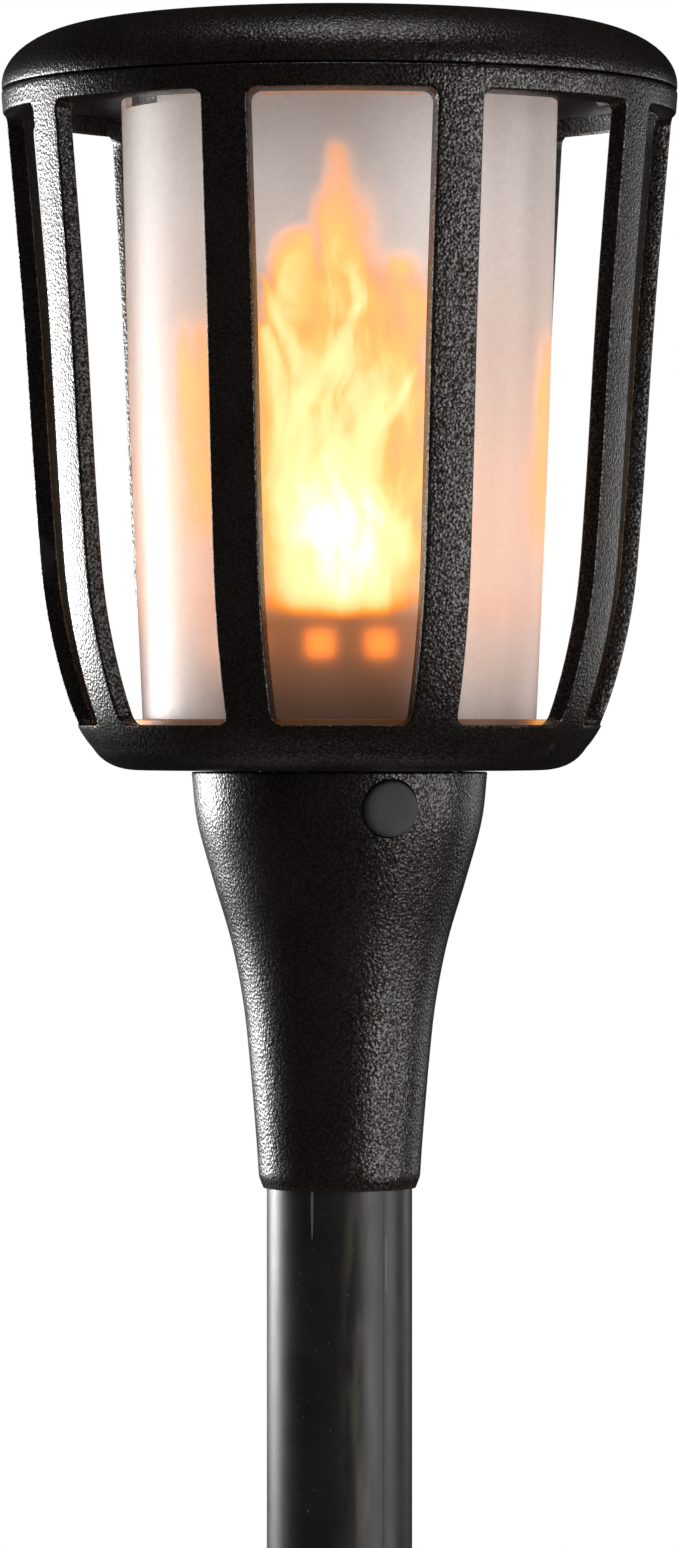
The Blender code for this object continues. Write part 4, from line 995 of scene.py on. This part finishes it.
def make_stake():
    """Cross of tapered fins under a collar, with a hollow spigot for the pole."""
    spigot, inner = SPIGOT_R, SPIGOT_BORE_R
    collar_r, spigot_top = STAKE_HIGH.x, STAKE_HIGH.z
    corners = [(0.0, 0.0), (collar_r, 0.0, MM), (collar_r, COLLAR_TOP, MM)]
    corners += [(spigot, COLLAR_TOP, 0.5 * MM), (spigot, spigot_top, 1.2 * MM), (inner, spigot_top, 0.3 * MM)]
    corners += [(inner, COLLAR_TOP, 0.3 * MM), (0.0, COLLAR_TOP)]
    stake = lathe("ground_spike", rounded(corners, closed=False), 128, closed=False)
    depth = -STAKE_LOW.z
    half, reach, waist, tip = 1.6 * MM, 12.5 * MM, 10 * MM, 0.6 * MM
    levels = [(0.5 * MM, reach), (-0.35 * depth, waist), (-depth + 8 * MM, half), (-depth, tip)]
    bm = bmesh.new()
    rings = []
    for z, out in levels:
        inside = min(half, out * 0.999)
        ring = []
        for quarter in range(4):
            turn = Matrix.Rotation(quarter * pi / 2, 3, "Z")
            for x, y in ((out, -inside), (out, inside), (inside, inside)):
                ring.append(bm.verts.new(turn @ Vector((x, y, z))))
        rings.append(ring)
    bm.faces.new(rings[0])
    join_rows(bm, rings)
    bm.faces.new(rings[-1])
    fins = soften(finish_mesh("spike_fins", bm), 0.5 * MM, 30)
    combine(stake, (fins, "UNION"))
    return dress(stake, BLACK_SMOOTH, "stake", "smooth_black", "stake")


# ---------------------------------------------------------------- diffuser and lid

def make_diffuser():
    top_r, bottom_r, wall = 42 * MM, 37.6 * MM, 1.8 * MM
    middle = (40.3 * MM, (TUBE_LOW.z + TUBE_HIGH.z) / 2)
    outer = smooth_curve([(bottom_r, TUBE_LOW.z), middle, (top_r, TUBE_HIGH.z)], 24)
    lining = [(r - wall, z) for r, z in reversed(outer)]
    foot, rim = 0.3 * MM, 0.35 * MM
    corners = [(*outer[0], foot), *outer[1:-1], (*outer[-1], rim)]
    corners += [(*lining[0], rim), *lining[1:-1], (*lining[-1], foot)]
    tube = lathe("frosted_tube", rounded(corners), 180)
    depth, lip = 2.2 * MM, MM
    heights = (TUBE_HIGH.z - depth, TUBE_HIGH.z + 2 * MM)
    half = NOTCH_SPAN / 2
    notch_spans = [(a - half, a + half) for a in LUG_ANGLES]
    groove_spans = [(a - half - 0.5, a + half + LID_TWIST) for a in LUG_ANGLES]
    grooves = sectors("grooves", (top_r - 4.5 * MM, top_r - wall + lip), groove_spans, heights, 16)
    notches = sectors("notches", (top_r - 4 * MM, top_r + 2 * MM), notch_spans, heights, 12)
    flange_low, flange_high = SILL - 0.4 * MM, SILL + 1.1 * MM
    flange = [(bottom_r - 0.6 * MM, flange_low), (FLANGE_R, flange_low, 0.3 * MM)]
    flange += [(FLANGE_R, flange_high, 0.3 * MM), (bottom_r - 0.6 * MM, flange_high)]
    flange = lathe("foot_flange", rounded(flange), 180)
    combine(tube, (flange, "UNION"), (grooves, "DIFFERENCE"), (notches, "DIFFERENCE"))
    return dress(tube, frosted(), "diffuser", "frosted_diffuser", "diffuser")


def make_lid():
    shoulder = (RIM_R - DOME_R, 11.25 * MM)
    band_top = LID_LOW.z + MM
    top = LID_HIGH.z
    outer = arc((DOME_R, band_top), shoulder, 0, 90, 40)
    edge = rounded([(RIM_R - LID_SKIN, LID_LOW.z, 0.2 * MM), (RIM_R, LID_LOW.z, 0.45 * MM), outer[0]],
                   closed=False)
    recess, floor, ledge = 45 * MM, top - 2.9 * MM, 41 * MM
    lining = arc((DOME_R, band_top), (shoulder[0] - LID_SKIN, shoulder[1] - LID_SKIN), 90, 0, 24)
    profile = edge[1:] + outer[1:-1]
    rim = [outer[-2], (DOME_R, top), (recess, top, 0.35 * MM), (recess, floor)]
    profile += rounded(rim, closed=False)[1:]
    profile += [(ledge, floor), (ledge, floor - 2 * MM), (44 * MM, floor - 2 * MM), *lining[1:]]
    profile += [(RIM_R - LID_SKIN, LID_LOW.z)]
    lid = lathe("lid_cap", profile, 180)
    post_low = TUBE_HIGH.z + 2.8 * MM
    posts = rods("lid_posts", LID_POST_CIRCLE_R, PIN_ANGLES, 3.2 * MM, post_low, top - 2.2 * MM)
    holes = rods("lid_post_holes", LID_POST_CIRCLE_R, PIN_ANGLES, SCREW_HOLE_R,
                 post_low - 2 * MM, post_low + 6.5 * MM)
    combine(lid, (posts, "UNION"), (holes, "DIFFERENCE"))
    return dress(lid, BLACK_GRAIN, "lid", "grained_black", "lid_shell")


def make_disc(name, node, r_in, material, body, slot, edge=0.15):
    """A turned flat piece with softened edges, in the place of a CAD ring or disc."""
    low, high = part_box(node)
    soft, ring = edge * MM, r_in > 0
    inner = (soft,) if ring else ()
    corners = [(r_in, low.z, *inner), (high.x, low.z, soft), (high.x, high.z, soft), (r_in, high.z, *inner)]
    obj = lathe(name, rounded(corners, closed=ring), 160, closed=ring)
    return dress(obj, material, body, slot, node)


make_cage()
make_neck()
make_button()
make_tube("upper_tube", "upper_pole", "upper_pole")
make_tube("lower_tube", "lower_pole", "lower_pole")
make_coupler()
make_stake()
make_diffuser()
make_lid()
make_disc("cell_disc", "solar_panel", 0.0, solar_cells(), "lid", "solar_cells")
make_disc("cover_pane", "panel_window", 0.0, clear_window(), "lid", "clear_window", 0.08)
GASKET = rubber("gasket_looks", (0.008, 0.008, 0.008), (0.014, 0.014, 0.014), 0.75)
make_disc("seal_ring", "panel_gasket", 42 * MM, GASKET, "lid", "gasket_rubber", 0.1)

CARRIED = {
    "lid_base": BLACK_GRAIN,
    "led_array": led_board(),
    "core_base": plastic("core_black_looks", (0.012, 0.010, 0.009), (0.022, 0.019, 0.017), 0.55),
    "led_carrier": plastic("carrier_white_looks", (0.62, 0.60, 0.55), (0.74, 0.72, 0.67), 0.5),
    "lead_socket": plastic("connector_looks", (0.010, 0.010, 0.010), (0.020, 0.020, 0.020), 0.35),
    "lead_plug": metal("plug_metal_looks", (0.42, 0.40, 0.36), (0.62, 0.60, 0.55)),
    "battery": cell_wrap(),
    "battery_pad_lower": foam(),
    "control_board": circuit_board(),
    "tact_switch": plastic("switch_looks", (0.012, 0.012, 0.012), (0.025, 0.025, 0.025), 0.45),
    "switch_plunger": metal("plunger_looks", (0.40, 0.39, 0.37), (0.58, 0.57, 0.54)),
    "panel_lead": plastic("red_sheath_looks", (0.24, 0.010, 0.010), (0.34, 0.016, 0.014), 0.42),
    "battery_lead": plastic("black_sheath_looks", (0.010, 0.010, 0.010), (0.020, 0.020, 0.020), 0.42),
    "head_screw_1": metal("screw_looks", (0.20, 0.20, 0.21), (0.42, 0.42, 0.43), 0.32),
}
CARRIED["core_cap"] = CARRIED["core_base"]
CARRIED["battery_pad_upper"] = CARRIED["battery_pad_lower"]
CARRIED["lid_lead"] = CARRIED["panel_lead"]
for screw in ("head_screw_2", "head_screw_3", "board_screw_1", "board_screw_2",
              "lid_screw_1", "lid_screw_2", "lid_screw_3"):
    CARRIED[screw] = CARRIED["head_screw_1"]
for node, material in CARRIED.items():
    carried = frame["nodes"][node]
    carried.data.materials.clear()
    carried.data.materials.append(material)


# ---------------------------------------------------------------- studio

def area_light(name, bearing, distance, height, size, power, aim=(0, 0, SILL)):
    """Softbox at a bearing in degrees, counted from the camera's side, positive to the right."""
    angle = FACING + radians(bearing)
    data = bpy.data.lights.new(name, "AREA")
    data.shape = "RECTANGLE"
    data.size, data.size_y = size
    data.energy = power
    light = bpy.data.objects.new(name, data)
    light.location = (distance * cos(angle), distance * sin(angle), height)
    light.rotation_mode = "QUATERNION"
    light.rotation_quaternion = (Vector(aim) - light.location).to_track_quat("-Z", "Y")
    light.visible_camera = False
    light.visible_transmission = False
    bpy.context.scene.collection.objects.link(light)


# The world: white behind the torch and in its diffuse light, nearly dark in its reflections.
DIFFUSE_LEVEL = 0.98
GLOSSY_LEVEL = 0.012


def make_studio():
    area_light("left_strip", -124, 1.0, SILL - 0.04, (0.42, 0.30), 10.5)
    area_light("left_low", -126, 1.0, SILL - 0.40, (0.24, 0.30), 0.10)
    area_light("right_box_near", 52, 1.1, SILL - 0.07, (0.44, 0.6), 4.6)
    area_light("right_low", 62, 1.1, 0.05, (0.30, 0.30), 0.8)
    area_light("right_box_far", 87, 1.1, SILL - 0.07, (0.30, 0.6), 3.0)
    area_light("right_rim", 132, 1.1, SILL - 0.03, (0.24, 0.4), 0.8)
    area_light("under_box", 180, 0.10, STAKE_LOW.z + 5 * MM, (0.5, 0.5), 0.22)
    area_light("top_box", 20, 0.25, 1.7, (0.7, 0.7), 5, aim=(0, 0, 0.5))

    world = Graph("studio", world=True)
    world.tree.nodes.clear()
    ray = world.node("LightPath").outputs
    seen = world.math("MAXIMUM", ray["Is Camera Ray"], ray["Is Transmission Ray"])
    diffuse = world.math("MULTIPLY_ADD", ray["Is Diffuse Ray"], DIFFUSE_LEVEL - GLOSSY_LEVEL, GLOSSY_LEVEL)
    level = world.math("MAXIMUM", seen, diffuse)
    background = world.node("Background", {"Color": (1.0, 1.0, 1.0), "Strength": level})
    world.node("OutputWorld", {"Surface": background.outputs[0]})
    bpy.context.scene.world = world.owner

    bm = bmesh.new()
    bmesh.ops.create_circle(bm, cap_ends=True, segments=96, radius=2.4,
                            matrix=Matrix.Translation((0, 0, STAKE_LOW.z - MM)))
    floor = finish_mesh("studio_floor", bm)
    g = Graph("studio_floor_looks")
    tone = g.noise(g.place(), 3.0, 2.0)
    tone = g.mix(tone, (0.965, 0.965, 0.965), (0.98, 0.98, 0.98))
    floor.data.materials.append(g.surface(Base_Color=tone, Roughness=0.75))
    floor.visible_glossy = False
    bpy.context.scene.view_settings.view_transform = "Standard"


def make_camera():
    """Level camera at the sill's height. Its view is view_height tall at the torch's axis."""
    distance, view_height, sensor = 1.367, 298.13 * MM, 36.0
    data = bpy.data.cameras.new("view_camera")
    data.sensor_width = sensor
    data.lens = sensor * distance / view_height
    data.shift_y = -0.031654
    data.clip_start, data.clip_end = 0.05, 50.0
    camera = bpy.data.objects.new("view_camera", data)
    camera.location = (distance * cos(FACING), distance * sin(FACING), SILL)
    camera.rotation_mode = "QUATERNION"
    camera.rotation_quaternion = Vector((-cos(FACING), -sin(FACING), 0)).to_track_quat("-Z", "Y")
    bpy.context.scene.collection.objects.link(camera)
    bpy.context.scene.camera = camera


make_studio()
make_camera()
